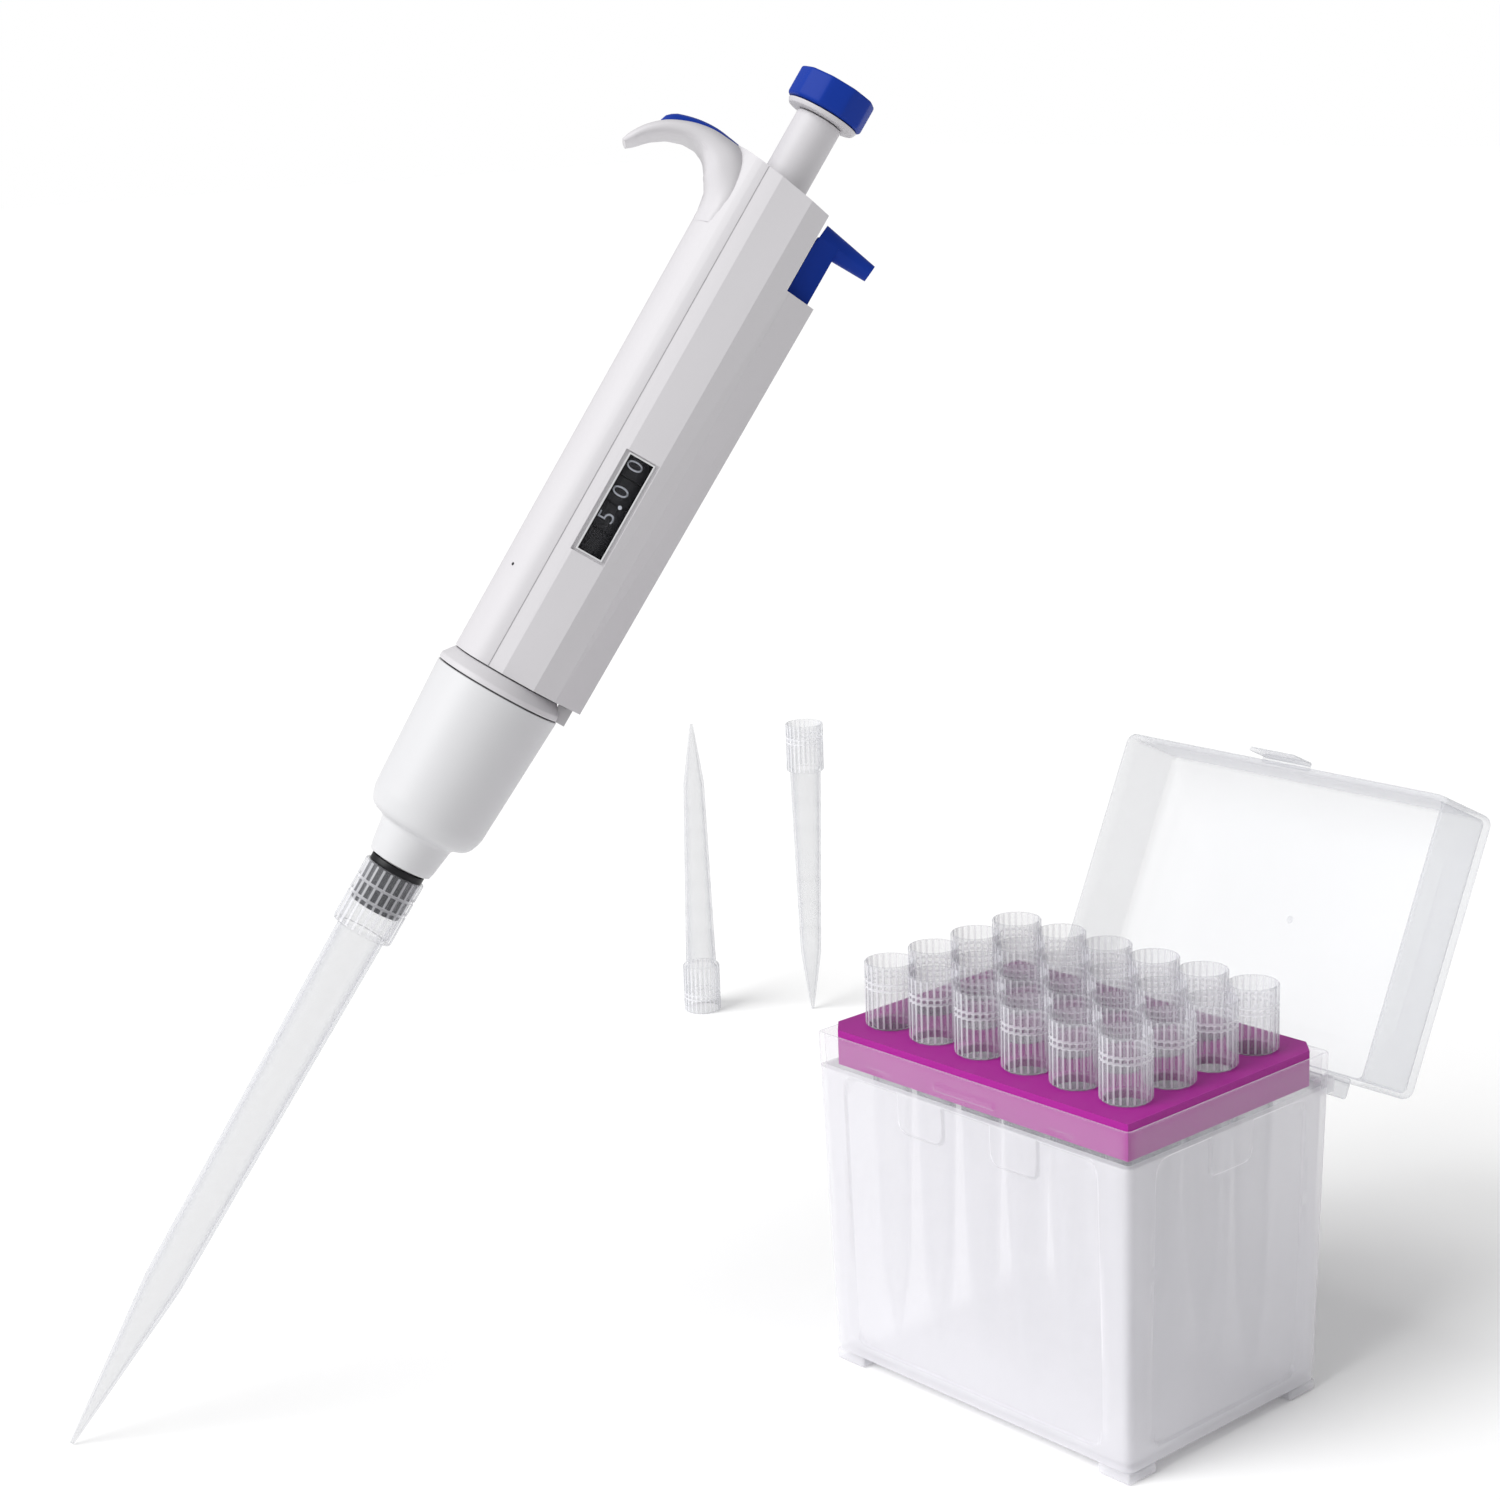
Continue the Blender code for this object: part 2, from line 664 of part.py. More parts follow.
def build_front_shell():
    bm = prism_bmesh(closed_outline(FRONT_OUTLINE), BODY_BOTTOM, BODY_TOP + 8, BODY_WIDEN)
    shell = object_from_bmesh("front_shell", bm, WHITE, PIPETTE, smooth=False)
    cut_slope(shell, BODY_TOP)
    seam = FRONT_INNER[0][0] - 2.0
    lower = closed_outline([(seam, FRONT_INNER[0][1]), *FRONT_INNER])
    bm = prism_bmesh(lower, BODY_BOTTOM - 1, NOTCH_FLOOR - SHELL_WALL, BODY_WIDEN)
    tool = object_from_bmesh("front_hollow_low", bm, None, PIPETTE, CUTTERS, smooth=False)
    boolean(shell, as_cutter(tool))
    upper_half = clipped_outline(FRONT_INNER, NOTCH_WALL - SHELL_WALL)
    upper = closed_outline([(seam, FRONT_INNER[0][1]), *upper_half])
    bm = prism_bmesh(upper, NOTCH_FLOOR - SHELL_WALL - 1, BODY_TOP + 8)
    tool = object_from_bmesh("front_hollow_high", bm, None, PIPETTE, CUTTERS, smooth=False)
    cut_slope(tool, BODY_TOP - ROOF)
    boolean(shell, as_cutter(tool))
    cut_box(shell, (NOTCH_WALL, -40, NOTCH_FLOOR), (60, 40, BODY_TOP + 20), PIPETTE)
    cut_box(shell, (NOTCH_WALL + 0.01, -3.8, NOTCH_FLOOR - 5), (21.6, 3.8, NOTCH_FLOOR + 1), PIPETTE)
    cut_rod(shell, (0, 0, BODY_TOP - 20), (0, 0, BODY_TOP + 10), STEM_RADIUS + 0.5, PIPETTE, 32)
    cut_box(
        shell,
        (OPENING_LOW[0], -30, OPENING_LOW[1]),
        (OPENING_HIGH[0], -10, OPENING_HIGH[1]),
        PIPETTE,
    )
    cut_box(
        shell,
        (WINDOW_LOW[0] + 0.7, -30, WINDOW_LOW[1] + 0.5),
        (WINDOW_HIGH[0] - 0.7, -BODY_DEPTH + 0.6, WINDOW_HIGH[1] - 0.5),
        PIPETTE,
    )
    return shell


def rear_half(offset):
    """The rounded rear's section: half an ellipse, drawn in by offset."""
    across, depth = 10.4 - offset, BODY_DEPTH - 1.0 - offset
    count = 9
    points = []
    for index in range(count + 1):
        angle = math.pi / 2 * (1 - index / count)
        points.append((SEAM_X - across * math.cos(angle), depth * math.sin(angle)))
    return points


HOOK_STATIONS = [  # centre line (x, z), half width, half thickness, from the body out to the tip
    (-8.5, 360.0, 8.0, 4.5),
    (-10.0, 368.0, 10.6, 5.6),
    (-11.2, 374.5, 12.0, 6.0),
    (-12.6, 380.5, 12.7, 6.6),
    (-15.6, 386.4, 12.6, 6.5),
    (-20.5, 389.3, 11.8, 4.2),
    (-25.0, 390.0, 11.2, 3.1),
    (-29.5, 389.3, 10.8, 2.5),
    (-34.0, 387.4, 10.4, 2.2),
    (-37.8, 384.4, 9.9, 1.9),
    (-40.6, 380.9, 9.0, 1.5),
    (-42.0, 378.9, 7.2, 0.9),
]
HOOK_SIDES = 12


def hook_bmesh():
    """A strap lofted along the hook's centre line, with a flat-oval section at each station."""
    bm = bmesh.new()
    loops = []
    last = len(HOOK_STATIONS) - 1
    for index, (x, z, half_width_here, half_thick) in enumerate(HOOK_STATIONS):
        before = HOOK_STATIONS[max(index - 1, 0)]
        after = HOOK_STATIONS[min(index + 1, last)]
        run = Vector((after[0] - before[0], 0, after[1] - before[1])).normalized()
        up = Vector((run.z, 0, -run.x))
        loop = []
        for step in range(HOOK_SIDES):
            angle = 2 * math.pi * step / HOOK_SIDES
            c, s = math.cos(angle), math.sin(angle)
            across = math.copysign(abs(c) ** 0.6, c) * half_width_here
            thick = math.copysign(abs(s) ** 0.8, s) * half_thick
            loop.append(bm.verts.new(Vector((x, across, z)) + up * thick))
        loops.append(loop)
    for low, high in zip(loops, loops[1:]):
        for step in range(HOOK_SIDES):
            after = (step + 1) % HOOK_SIDES
            bm.faces.new((low[step], low[after], high[after], high[step]))
    bm.faces.new(loops[0])
    bm.faces.new(loops[-1])
    bmesh.ops.recalc_face_normals(bm, faces=bm.faces)
    return bm


def build_rear_shell():
    outer = rear_half(0.0)
    bm = prism_bmesh(closed_outline(outer), BODY_BOTTOM, BODY_TOP + 8, BODY_WIDEN)
    shell = object_from_bmesh("rear_shell", bm, WHITE, PIPETTE)
    cut_slope(shell, BODY_TOP)
    hook = object_from_bmesh("rear_hook", hook_bmesh(), None, PIPETTE, CUTTERS)
    boolean(shell, as_cutter(hook), "UNION")
    inner = [(SEAM_X + 20.0, rear_half(SHELL_WALL)[0][1]), *rear_half(SHELL_WALL)]
    bm = prism_bmesh(closed_outline(inner), BODY_BOTTOM - 1, BODY_TOP - 10)
    tool = object_from_bmesh("rear_hollow", bm, None, PIPETTE, CUTTERS, smooth=False)
    boolean(shell, as_cutter(tool))
    cut_box(shell, (SEAM_X, -40, 200), (60, 40, 500), PIPETTE)
    cut_rod(shell, (0, 0, BODY_TOP - 20), (0, 0, BODY_TOP + 10), STEM_RADIUS + 0.5, PIPETTE, 32)
    return shell


def build_hook_pad():
    """The coloured inlay that lies along the top of the finger hook."""
    bm = bmesh.new()
    loops = []
    stations = HOOK_STATIONS[4:10]
    for index, (x, z, half_width_here, half_thick) in enumerate(stations):
        before = stations[max(index - 1, 0)]
        after = stations[min(index + 1, len(stations) - 1)]
        run = Vector((after[0] - before[0], 0, after[1] - before[1])).normalized()
        up = Vector((run.z, 0, -run.x))
        base = Vector((x, 0, z)) + up * (half_thick + GAP + 0.1)
        thick = 0.6 + 0.36 * index
        wide = half_width_here * 0.62
        corners = [(-wide, 0), (wide, 0), (wide * 0.92, thick), (-wide * 0.92, thick)]
        loops.append([bm.verts.new(base + Vector((0, y, 0)) + up * t) for y, t in corners])
    for low, high in zip(loops, loops[1:]):
        for step in range(4):
            after = (step + 1) % 4
            bm.faces.new((low[step], low[after], high[after], high[step]))
    bm.faces.new(loops[0])
    bm.faces.new(loops[-1])
    bmesh.ops.recalc_face_normals(bm, faces=bm.faces)
    return object_from_bmesh("hook_pad", bm, BLUE, PIPETTE)


def build_display():
    lens_low = (OPENING_LOW[0] + GAP, -BODY_DEPTH - 0.1 + 0.6, OPENING_LOW[1] + GAP)
    lens_high = (OPENING_HIGH[0] - GAP, -BODY_DEPTH + 1.6, OPENING_HIGH[1] - GAP)
    box("window_lens", lens_low, lens_high, LENS, PIPETTE)
    names = ("units", "tenths", "hundredths")
    for index, name in enumerate(names, start=1):
        middle = FIRST_WHEEL + WHEEL_PITCH * index
        low, high = middle - WHEEL_HEIGHT / 2, middle + WHEEL_HEIGHT / 2
        ring(f"digit_wheel_{name}", 13.0, 10.0, low, high, DARK, PIPETTE, sides=30)
    low, high = FIRST_WHEEL - WHEEL_HEIGHT / 2, FIRST_WHEEL + WHEEL_HEIGHT / 2
    top = FIRST_WHEEL + WHEEL_PITCH * 3 + WHEEL_HEIGHT / 2
    turned(
        "counter_drum",
        [(9.6, top), (9.6, high), (13.0, high), (13.0, low), (7.4, low), (7.4, top)],
        DARK,
        PIPETTE,
        sides=30,
    )


# ---------------------------------------------------------------- pipette: plunger


def build_plunger():
    ring("volume_nut", 10.5, 3.4, 318.0, 325.0, GREY, PIPETTE, sides=24)
    ring("stem_bushing", 9.4, STEM_RADIUS + GAP, 367.0, 375.0, GREY, PIPETTE, sides=24)
    solid_turned("volume_spindle", [(3.0, 344.7), (3.0, 330.2)], STEEL, PIPETTE, sides=16)
    solid_turned("plunger_stem", [(STEM_RADIUS, 410.1), (STEM_RADIUS, 345.0)], WHITE, PIPETTE, sides=32)
    solid_turned("button_skirt", [(10.3, 411.7), (9.6, 410.4)], WHITE, PIPETTE, sides=40)
    bm = rod_bmesh((0, 0, KNOB_BOTTOM), (0, 0, KNOB_TOP), KNOB_RADIUS, 10)
    half_facet = math.pi / 10
    turn = Matrix.Rotation(-math.pi / 2 + half_facet - math.radians(5), 4, "Z")
    bmesh.ops.transform(bm, matrix=turn, verts=bm.verts)
    knob = object_from_bmesh("push_button", bm, BLUE, PIPETTE)
    bevel = knob.modifiers.new("Bevel", "BEVEL")
    bevel.width = 1.6 * MM
    bevel.segments = 3
    bevel.limit_method = "ANGLE"
    bevel.angle_limit = math.radians(50)


build_rack_tips()
build_loose_tips()
turned("mounted_tip", MOUNTED_TIP, CLEAR, PIPETTE, sides=16)
build_base()
build_hinge_pins()
build_deck()
build_lid()
build_nozzle()
build_piston()
build_springs()
build_collar_ring()
build_ejector()
build_front_shell()
build_rear_shell()
build_hook_pad()
build_display()
build_plunger()
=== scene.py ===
import json
import math

import bmesh
import bpy
import numpy as np
from mathutils import Matrix, Vector


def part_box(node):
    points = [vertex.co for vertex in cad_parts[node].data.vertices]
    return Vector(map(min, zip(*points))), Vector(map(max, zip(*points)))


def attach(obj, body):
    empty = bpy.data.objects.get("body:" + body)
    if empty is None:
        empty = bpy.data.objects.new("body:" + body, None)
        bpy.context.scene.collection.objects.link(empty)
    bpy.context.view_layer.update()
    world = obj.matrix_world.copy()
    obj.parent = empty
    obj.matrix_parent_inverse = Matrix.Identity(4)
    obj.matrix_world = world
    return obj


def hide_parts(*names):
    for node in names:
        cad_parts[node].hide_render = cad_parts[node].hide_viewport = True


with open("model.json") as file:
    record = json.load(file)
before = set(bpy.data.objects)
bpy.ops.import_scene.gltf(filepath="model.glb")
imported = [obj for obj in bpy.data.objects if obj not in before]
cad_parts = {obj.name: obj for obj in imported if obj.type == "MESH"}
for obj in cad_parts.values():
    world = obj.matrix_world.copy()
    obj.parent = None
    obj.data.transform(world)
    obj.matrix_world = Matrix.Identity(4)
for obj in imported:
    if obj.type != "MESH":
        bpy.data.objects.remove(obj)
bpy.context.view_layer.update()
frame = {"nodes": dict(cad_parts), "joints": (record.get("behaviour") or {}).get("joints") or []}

# ---------------------------------------------------------------- camera and film
# The lens and the place that give the set's product view. Lengths are in millimetres from the
# middle of the rack's foot, as everything that stands on the floor is.

MM = 0.001
deck_low, deck_high = (np.array(corner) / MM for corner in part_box("deck"))
RACK_MIDDLE = np.array([*((deck_low + deck_high) / 2)[:2], 0.0])


def linked(name, data):
    """A new object that shows data, linked into the scene."""
    obj = bpy.data.objects.new(name, data)
    bpy.context.scene.collection.objects.link(obj)
    return obj


CAMERA_PLACE = (503.67, -557.70, 367.46)
CAMERA_RIGHT = (0.66661, 0.74455, -0.03583)
CAMERA_UP = (-0.15616, 0.18648, 0.96997)
CAMERA_LENS = 69.86

camera_data = bpy.data.cameras.new("camera")
camera = linked("camera", camera_data)
camera_data.lens = CAMERA_LENS
camera_data.sensor_width = 36.0
camera_data.shift_x = 0.0067
camera_data.clip_start = 0.01
right, up = Vector(CAMERA_RIGHT).normalized(), Vector(CAMERA_UP)
back = right.cross(up).normalized()
up = back.cross(right)
camera.matrix_world = Matrix.Translation(Vector(RACK_MIDDLE + CAMERA_PLACE) * MM) @ (
    Matrix((right, up, back)).transposed().to_4x4()
)
bpy.context.scene.camera = camera
bpy.context.scene.view_settings.view_transform = "Standard"
bpy.context.scene.cycles.transparent_max_bounces = 64
bpy.context.scene.cycles.max_bounces = 12

# ---------------------------------------------------------------- floor and studio light
# A white sheet under the set, one broad soft light from the front left and a white room.


def linear(red, green, blue):
    """An 8-bit screen colour as linear light, for a shader's socket."""
    shares = (value / 255.0 for value in (red, green, blue))
    return (*((s / 12.92 if s <= 0.04045 else ((s + 0.055) / 1.055) ** 2.4) for s in shares), 1.0)


def add_nodes(tree, kind, **settings):
    """A new node of that kind, with its sockets or properties set by name."""
    node = tree.nodes.new(kind)
    for key, value in settings.items():
        if key in node.inputs:
            node.inputs[key].default_value = value
        else:
            setattr(node, key, value)
    return node


def new_material(name):
    """An empty node material: its tree, its output node and a Principled shader."""
    material = bpy.data.materials.new(name)
    material.use_nodes = True
    tree = material.node_tree
    return material, tree, tree.nodes["Material Output"], tree.nodes["Principled BSDF"]


def plane_mesh(name, half):
    mesh = bpy.data.meshes.new(name)
    corners = [(-half, -half, 0), (half, -half, 0), (half, half, 0), (-half, half, 0)]
    mesh.from_pydata(corners, [], [(0, 1, 2, 3)])
    return linked(name, mesh)


floor = plane_mesh("floor", 6.0)
floor.location.z = -0.0002
floor_paper, _, _, floor_shader = new_material("floor_paper")
floor_shader.inputs["Base Color"].default_value = (0.975, 0.975, 0.975, 1.0)
floor_shader.inputs["Roughness"].default_value = 0.7
floor_shader.inputs["Specular IOR Level"].default_value = 0.15
floor.data.materials.append(floor_paper)

world = bpy.data.worlds.new("white_room")
bpy.context.scene.world = world
world.use_nodes = True
ROOM_LIGHT = 0.48
room_tree = world.node_tree
room = room_tree.nodes["Background"]
room.inputs["Color"].default_value = (1.0, 1.0, 1.0, 1.0)
room.inputs["Strength"].default_value = ROOM_LIGHT
backdrop = add_nodes(room_tree, "ShaderNodeBackground", Strength=1.0)
backdrop.inputs["Color"].default_value = (1.0, 1.0, 1.0, 1.0)
light_path = add_nodes(room_tree, "ShaderNodeLightPath")
room_mix = add_nodes(room_tree, "ShaderNodeMixShader")
room_tree.links.new(light_path.outputs["Is Camera Ray"], room_mix.inputs["Fac"])
room_tree.links.new(room.outputs["Background"], room_mix.inputs[1])
room_tree.links.new(backdrop.outputs["Background"], room_mix.inputs[2])
room_tree.links.new(room_mix.outputs["Shader"], room_tree.nodes["World Output"].inputs["Surface"])


def soft_sun(name, from_direction, strength, spread):
    """An even light from one direction, softened by the spread of its disc in degrees."""
    data = bpy.data.lights.new(name, "SUN")
    data.energy = strength
    data.angle = math.radians(spread)
    light = linked(name, data)
    light.rotation_euler = Vector(from_direction).to_track_quat("Z", "Y").to_euler()


soft_sun("key", (-0.24, -0.99, 0.92), 2.9, 42.0)

# ---------------------------------------------------------------- pipette: its own frame
# The pipette is built upright, its tip's point at the origin and its finger hook towards -X,
# and every point is then carried to where the solids lean: the axis comes from the volume
# knob's joint, the turn about it is the pipette's own.

KNOB_JOINT = next(joint for joint in frame["joints"] if joint["name"] == "volume_turn")
PIPETTE_AXIS = Vector(KNOB_JOINT["axis"]).normalized()
PIPETTE_POINT = Vector(KNOB_JOINT["pos_m"])
PIPETTE_SPIN = math.radians(-16.78)
heading = math.atan2(PIPETTE_AXIS.y, PIPETTE_AXIS.x)
lean = math.acos(PIPETTE_AXIS.z)
PIPETTE = (
    Matrix.Translation(PIPETTE_POINT)
    @ Matrix.Rotation(heading, 4, "Z")
    @ Matrix.Rotation(lean, 4, "Y")
    @ Matrix.Rotation(PIPETTE_SPIN, 4, "Z")
    @ Matrix.Scale(MM, 4)
)
UPRIGHT = Matrix.Translation(Vector(RACK_MIDDLE) * MM) @ Matrix.Scale(MM, 4)


def carried(points, place):
    """An (..., 3) array of points in millimetres, carried by a 4x4 matrix to metres."""
    matrix = np.array(place)
    return points @ matrix[:3, :3].T + matrix[:3, 3]


def mesh_object(name, points, faces, material, smooth_angle=35.0):
    """A mesh object from a vertex array and a face list, smooth but for its sharp edges."""
    mesh = bpy.data.meshes.new(name)
    mesh.from_pydata(points.tolist(), [], faces)
    mesh.shade_smooth()
    mesh.set_sharp_from_angle(angle=math.radians(smooth_angle))
    mesh.materials.append(material)
    return linked(name, mesh)


def loft(name, rings, place, material, closed=False, smooth_angle=35.0):
    """Rings of points, an array (rings, around, 3), skinned in order and carried to place.

    Around is always a closed loop. With closed, the last ring joins the first, as on a tube
    with a wall; without it, both end rings are filled.
    """
    count, around = rings.shape[:2]
    index = np.arange(count * around).reshape(count, around)
    low = index if closed else index[:-1]
    high = np.roll(index, -1, axis=0) if closed else index[1:]
    faces = np.stack([low, np.roll(low, -1, 1), np.roll(high, -1, 1), high], axis=-1)
    faces = faces.reshape(-1, 4).tolist()
    if not closed:
        faces += [index[0][::-1].tolist(), index[-1].tolist()]
    points = carried(rings.reshape(-1, 3), place)
    obj = mesh_object(name, points, faces, material, smooth_angle)
    face_outwards(obj)
    return obj


def face_outwards(obj):
    bm = bmesh.new()
    bm.from_mesh(obj.data)
    bmesh.ops.recalc_face_normals(bm, faces=bm.faces)
    bm.to_mesh(obj.data)
    bm.free()


def rounded(profile, radii, steps=4):
    """A closed profile with each corner replaced by an arc that touches both of its sides.

    radii is one radius for all corners or one for each; the arc is a quadratic curve whose
    ends lie a radius (or 45% of the shorter side) from the corner.
    """
    profile = np.array(profile, float)
    radii = np.broadcast_to(np.array(radii, float), len(profile))
    share = np.linspace(0, 1, steps + 1)[:, None]
    before, after = np.roll(profile, 1, 0), np.roll(profile, -1, 0)
    arcs = []
    for start, corner, end, radius in zip(before, profile, after, radii):
        run_in, run_out = start - corner, end - corner
        length_in, length_out = np.linalg.norm(run_in), np.linalg.norm(run_out)
        reach = min(radius, 0.45 * length_in, 0.45 * length_out)
        if reach <= 0:
            arcs.append(corner[None, :])
            continue
        first = corner + run_in / length_in * reach
        last = corner + run_out / length_out * reach
        arcs.append((1 - share) ** 2 * first + 2 * share * (1 - share) * corner + share**2 * last)
    return np.concatenate(arcs)


def lathe(name, profile, place, material, around=96, ripple=None, closed=True, smooth_angle=35.0):
    """A profile of (radius, height) points turned about Z: x = r cos a, y = r sin a.

    ripple(angle, radius, height) returns a radius for every point, for ribs and flutes.
    """
    profile = np.array(profile, float)
    angle = np.linspace(0, 2 * np.pi, around, endpoint=False)[None, :]
    radius = np.repeat(profile[:, :1], around, axis=1)
    height = np.repeat(profile[:, 1:], around, axis=1)
    if ripple:
        radius = ripple(angle, radius, height)
    rings = np.stack([radius * np.cos(angle), radius * np.sin(angle), height], axis=-1)
    return loft(name, rings, place, material, closed, smooth_angle)


PLASTIC_IOR = 1.49
RIM_POWER = 2.2


def moulded_plastic(name, colour, roughness, grain=0.02, shade=0.03, gloss=0.3):
    """Opaque moulded plastic: a faint cloudiness in the colour and a fine spark-eroded grain.

    Two noises on Object coordinates: one about 30 mm wide for the colour and one about
    0.4 mm wide for the bump.
    """
    material, tree, _, shader = new_material(name)
    place = add_nodes(tree, "ShaderNodeTexCoord")
    cloud = add_nodes(tree, "ShaderNodeTexNoise", Scale=35.0, Detail=3.0, Roughness=0.5)
    mix = add_nodes(tree, "ShaderNodeMix", data_type="RGBA")
    dark = tuple(value * (1 - shade) for value in colour[:3]) + (1.0,)
    mix.inputs[6].default_value = dark
    mix.inputs[7].default_value = colour
    fine = add_nodes(tree, "ShaderNodeTexNoise", Scale=2600.0, Detail=2.0, Roughness=0.6)
    bump = add_nodes(tree, "ShaderNodeBump", Strength=grain * 5, Distance=0.00006)
    link = tree.links.new
    link(place.outputs["Object"], cloud.inputs["Vector"])
    link(place.outputs["Object"], fine.inputs["Vector"])
    link(cloud.outputs["Fac"], mix.inputs["Factor"])
    link(mix.outputs[2], shader.inputs["Base Color"])
    link(fine.outputs["Fac"], bump.inputs["Height"])
    link(bump.outputs["Normal"], shader.inputs["Normal"])
    shader.inputs["Roughness"].default_value = roughness
    shader.inputs["IOR"].default_value = PLASTIC_IOR
    shader.inputs["Specular IOR Level"].default_value = gloss
    return material


def clear_plastic(
    name, colour, film, edge, roughness, haze_scale=60.0, haze=0.3, bump=0.0, tint=1.0
):
    """Unpigmented plastic: mostly see-through face on, milky and bright where it turns edge on.

    The share of the surface that scatters light is film + edge f^2.2, where f is the Layer
    Weight's facing value, 0 face on and 1 at the rim, and a soft noise varies it. Light that
    passes straight through is dimmed to tint.
    """
    material, tree, output, shader = new_material(name)
    link = tree.links.new
    place = add_nodes(tree, "ShaderNodeTexCoord")
    cloud = add_nodes(tree, "ShaderNodeTexNoise", Scale=haze_scale, Detail=4.0, Roughness=0.6)
    link(place.outputs["Object"], cloud.inputs["Vector"])
    weight = add_nodes(tree, "ShaderNodeLayerWeight", Blend=0.5)
    power = add_nodes(tree, "ShaderNodeMath", operation="POWER")
    power.inputs[1].default_value = RIM_POWER
    rim = add_nodes(tree, "ShaderNodeMath", operation="MULTIPLY_ADD", use_clamp=True)
    rim.inputs[1].default_value = edge
    rim.inputs[2].default_value = film
    vary = add_nodes(tree, "ShaderNodeMath", operation="MULTIPLY_ADD")
    vary.inputs[1].default_value = haze
    vary.inputs[2].default_value = 1.0 - haze / 2
    share = add_nodes(tree, "ShaderNodeMath", operation="MULTIPLY", use_clamp=True)
    clear = add_nodes(tree, "ShaderNodeBsdfTransparent")
    clear.inputs["Color"].default_value = (tint, tint, tint, 1.0)
    mix = add_nodes(tree, "ShaderNodeMixShader")
    link(weight.outputs["Facing"], power.inputs[0])
    link(power.outputs["Value"], rim.inputs[0])
    link(cloud.outputs["Fac"], vary.inputs[0])
    link(rim.outputs["Value"], share.inputs[0])
    link(vary.outputs["Value"], share.inputs[1])
    link(share.outputs["Value"], mix.inputs["Fac"])
    link(clear.outputs["BSDF"], mix.inputs[1])
    link(shader.outputs["BSDF"], mix.inputs[2])
    link(mix.outputs["Shader"], output.inputs["Surface"])
    shader.inputs["Base Color"].default_value = colour
    shader.inputs["Roughness"].default_value = roughness
    shader.inputs["IOR"].default_value = PLASTIC_IOR
    shader.inputs["Subsurface Weight"].default_value = 0.0
    if bump:
        grain = add_nodes(tree, "ShaderNodeTexNoise", Scale=900.0, Detail=3.0, Roughness=0.6)
        press = add_nodes(tree, "ShaderNodeBump", Strength=bump, Distance=0.0001)
        link(place.outputs["Object"], grain.inputs["Vector"])
        link(grain.outputs["Fac"], press.inputs["Height"])
        link(press.outputs["Normal"], shader.inputs["Normal"])
    return material


# ---------------------------------------------------------------- disposable tips
# Injection-moulded polypropylene cones, open at both ends. The collar has fine upright ribs for
# grip and two ring marks; faint rings on the tube mark volumes. They hang by their shoulders in
# the rack's deck, and one is pushed on to the pipette's nozzle.

TIP_PLASTIC = clear_plastic(
    "tip_plastic", linear(208, 209, 215), 0.075, 0.7, 0.16, 12.0, 0.1, tint=0.968
)
# Lighter material for the rib crests and ring grooves: partly the milkier look of the plastic there,
# partly a painted highlight along them.
RIB_HIGHLIGHT_PLASTIC = clear_plastic(
    "rib_highlight_plastic", linear(240, 240, 245), 0.36, 0.5, 0.2, 12.0, 0.1, tint=0.975
)
TIP_RIBS, TIP_AROUND = 24, 240
GROOVE_DEEP, MARK_DEEP = 0.42, 0.09
RACK_TIP_RADIUS, MOUNTED_TIP_RADIUS = 7.05, 8.7
RACK_TIP_LENGTH, RACK_TIP_COLLAR = 113.0, 18.1
MOUNTED_TIP_LENGTH, MOUNTED_TIP_COLLAR = 180.0, 18.8


def tip_profile(
    length, collar_radius, collar, tube_radius, break_height, break_radius, wall, rings, marks
):
    """A tip's section from its rim down the outer side and back up the bore.

    Each ring is a groove 0.42 mm deep round the collar, that far below the rim. Each mark is a
    groove 0.09 mm deep and 0.7 mm tall round the tube, at that height.
    """
    step = length - collar
    slope = (tube_radius - break_radius) / (step - break_height)
    outer = [(collar_radius - 0.25, length), (collar_radius, length - 0.3)]
    for ring_height in (length - drop for drop in rings):
        outer += [
            (collar_radius, ring_height + 0.4),
            (collar_radius - GROOVE_DEEP, ring_height + 0.22),
            (collar_radius - GROOVE_DEEP, ring_height - 0.22),
            (collar_radius, ring_height - 0.4),
        ]
    outer += [
        (collar_radius, step + 0.5),
        (collar_radius - 0.3, step + 0.12),
        (tube_radius + 0.2, step),
        (tube_radius, step - 0.3),
    ]
    for height in marks:
        here = break_radius + slope * (height - break_height)
        outer += [
            (here, height + 0.35),
            (here - MARK_DEEP, height + 0.2),
            (here - MARK_DEEP, height - 0.2),
            (here, height - 0.35),
        ]
    outer += [(break_radius, break_height), (0.62, 0.5), (0.5, 0.0)]
    inner = [
        (0.26, 0.0),
        (break_radius - wall, break_height + 1.0),
        (tube_radius - wall, step),
        (collar_radius - wall - 0.1, step + 1.5),
        (collar_radius - wall, length - 0.4),
        (collar_radius - wall + 0.2, length),
    ]
    return outer + inner


def paint_rib_highlights(tip, profile, collar_radius):
    """Gives the rib crests and the collar's ring grooves a lighter material: partly their milkier
    look, partly painted highlight.
    """
    tip.data.materials.append(RIB_HIGHLIGHT_PLASTIC)
    radius, height = np.array(profile).T
    level = np.repeat(np.arange(len(profile)), TIP_AROUND)
    turn = np.tile(np.arange(TIP_AROUND) * TIP_RIBS / TIP_AROUND % 1.0, len(profile))
    flat = np.minimum(radius, np.roll(radius, -1))[level]
    tall = np.abs(height - np.roll(height, -1))[level]
    on_collar = (flat > collar_radius - 0.02) & (tall > 0.5)
    mark = (flat > collar_radius - 0.45) & (flat < collar_radius - 0.3) & (tall < 0.5)
    rib = on_collar & ((turn < 0.1) | (turn > 0.8))
    tip.data.polygons.foreach_set("material_index", (rib | mark).astype(int).tolist())


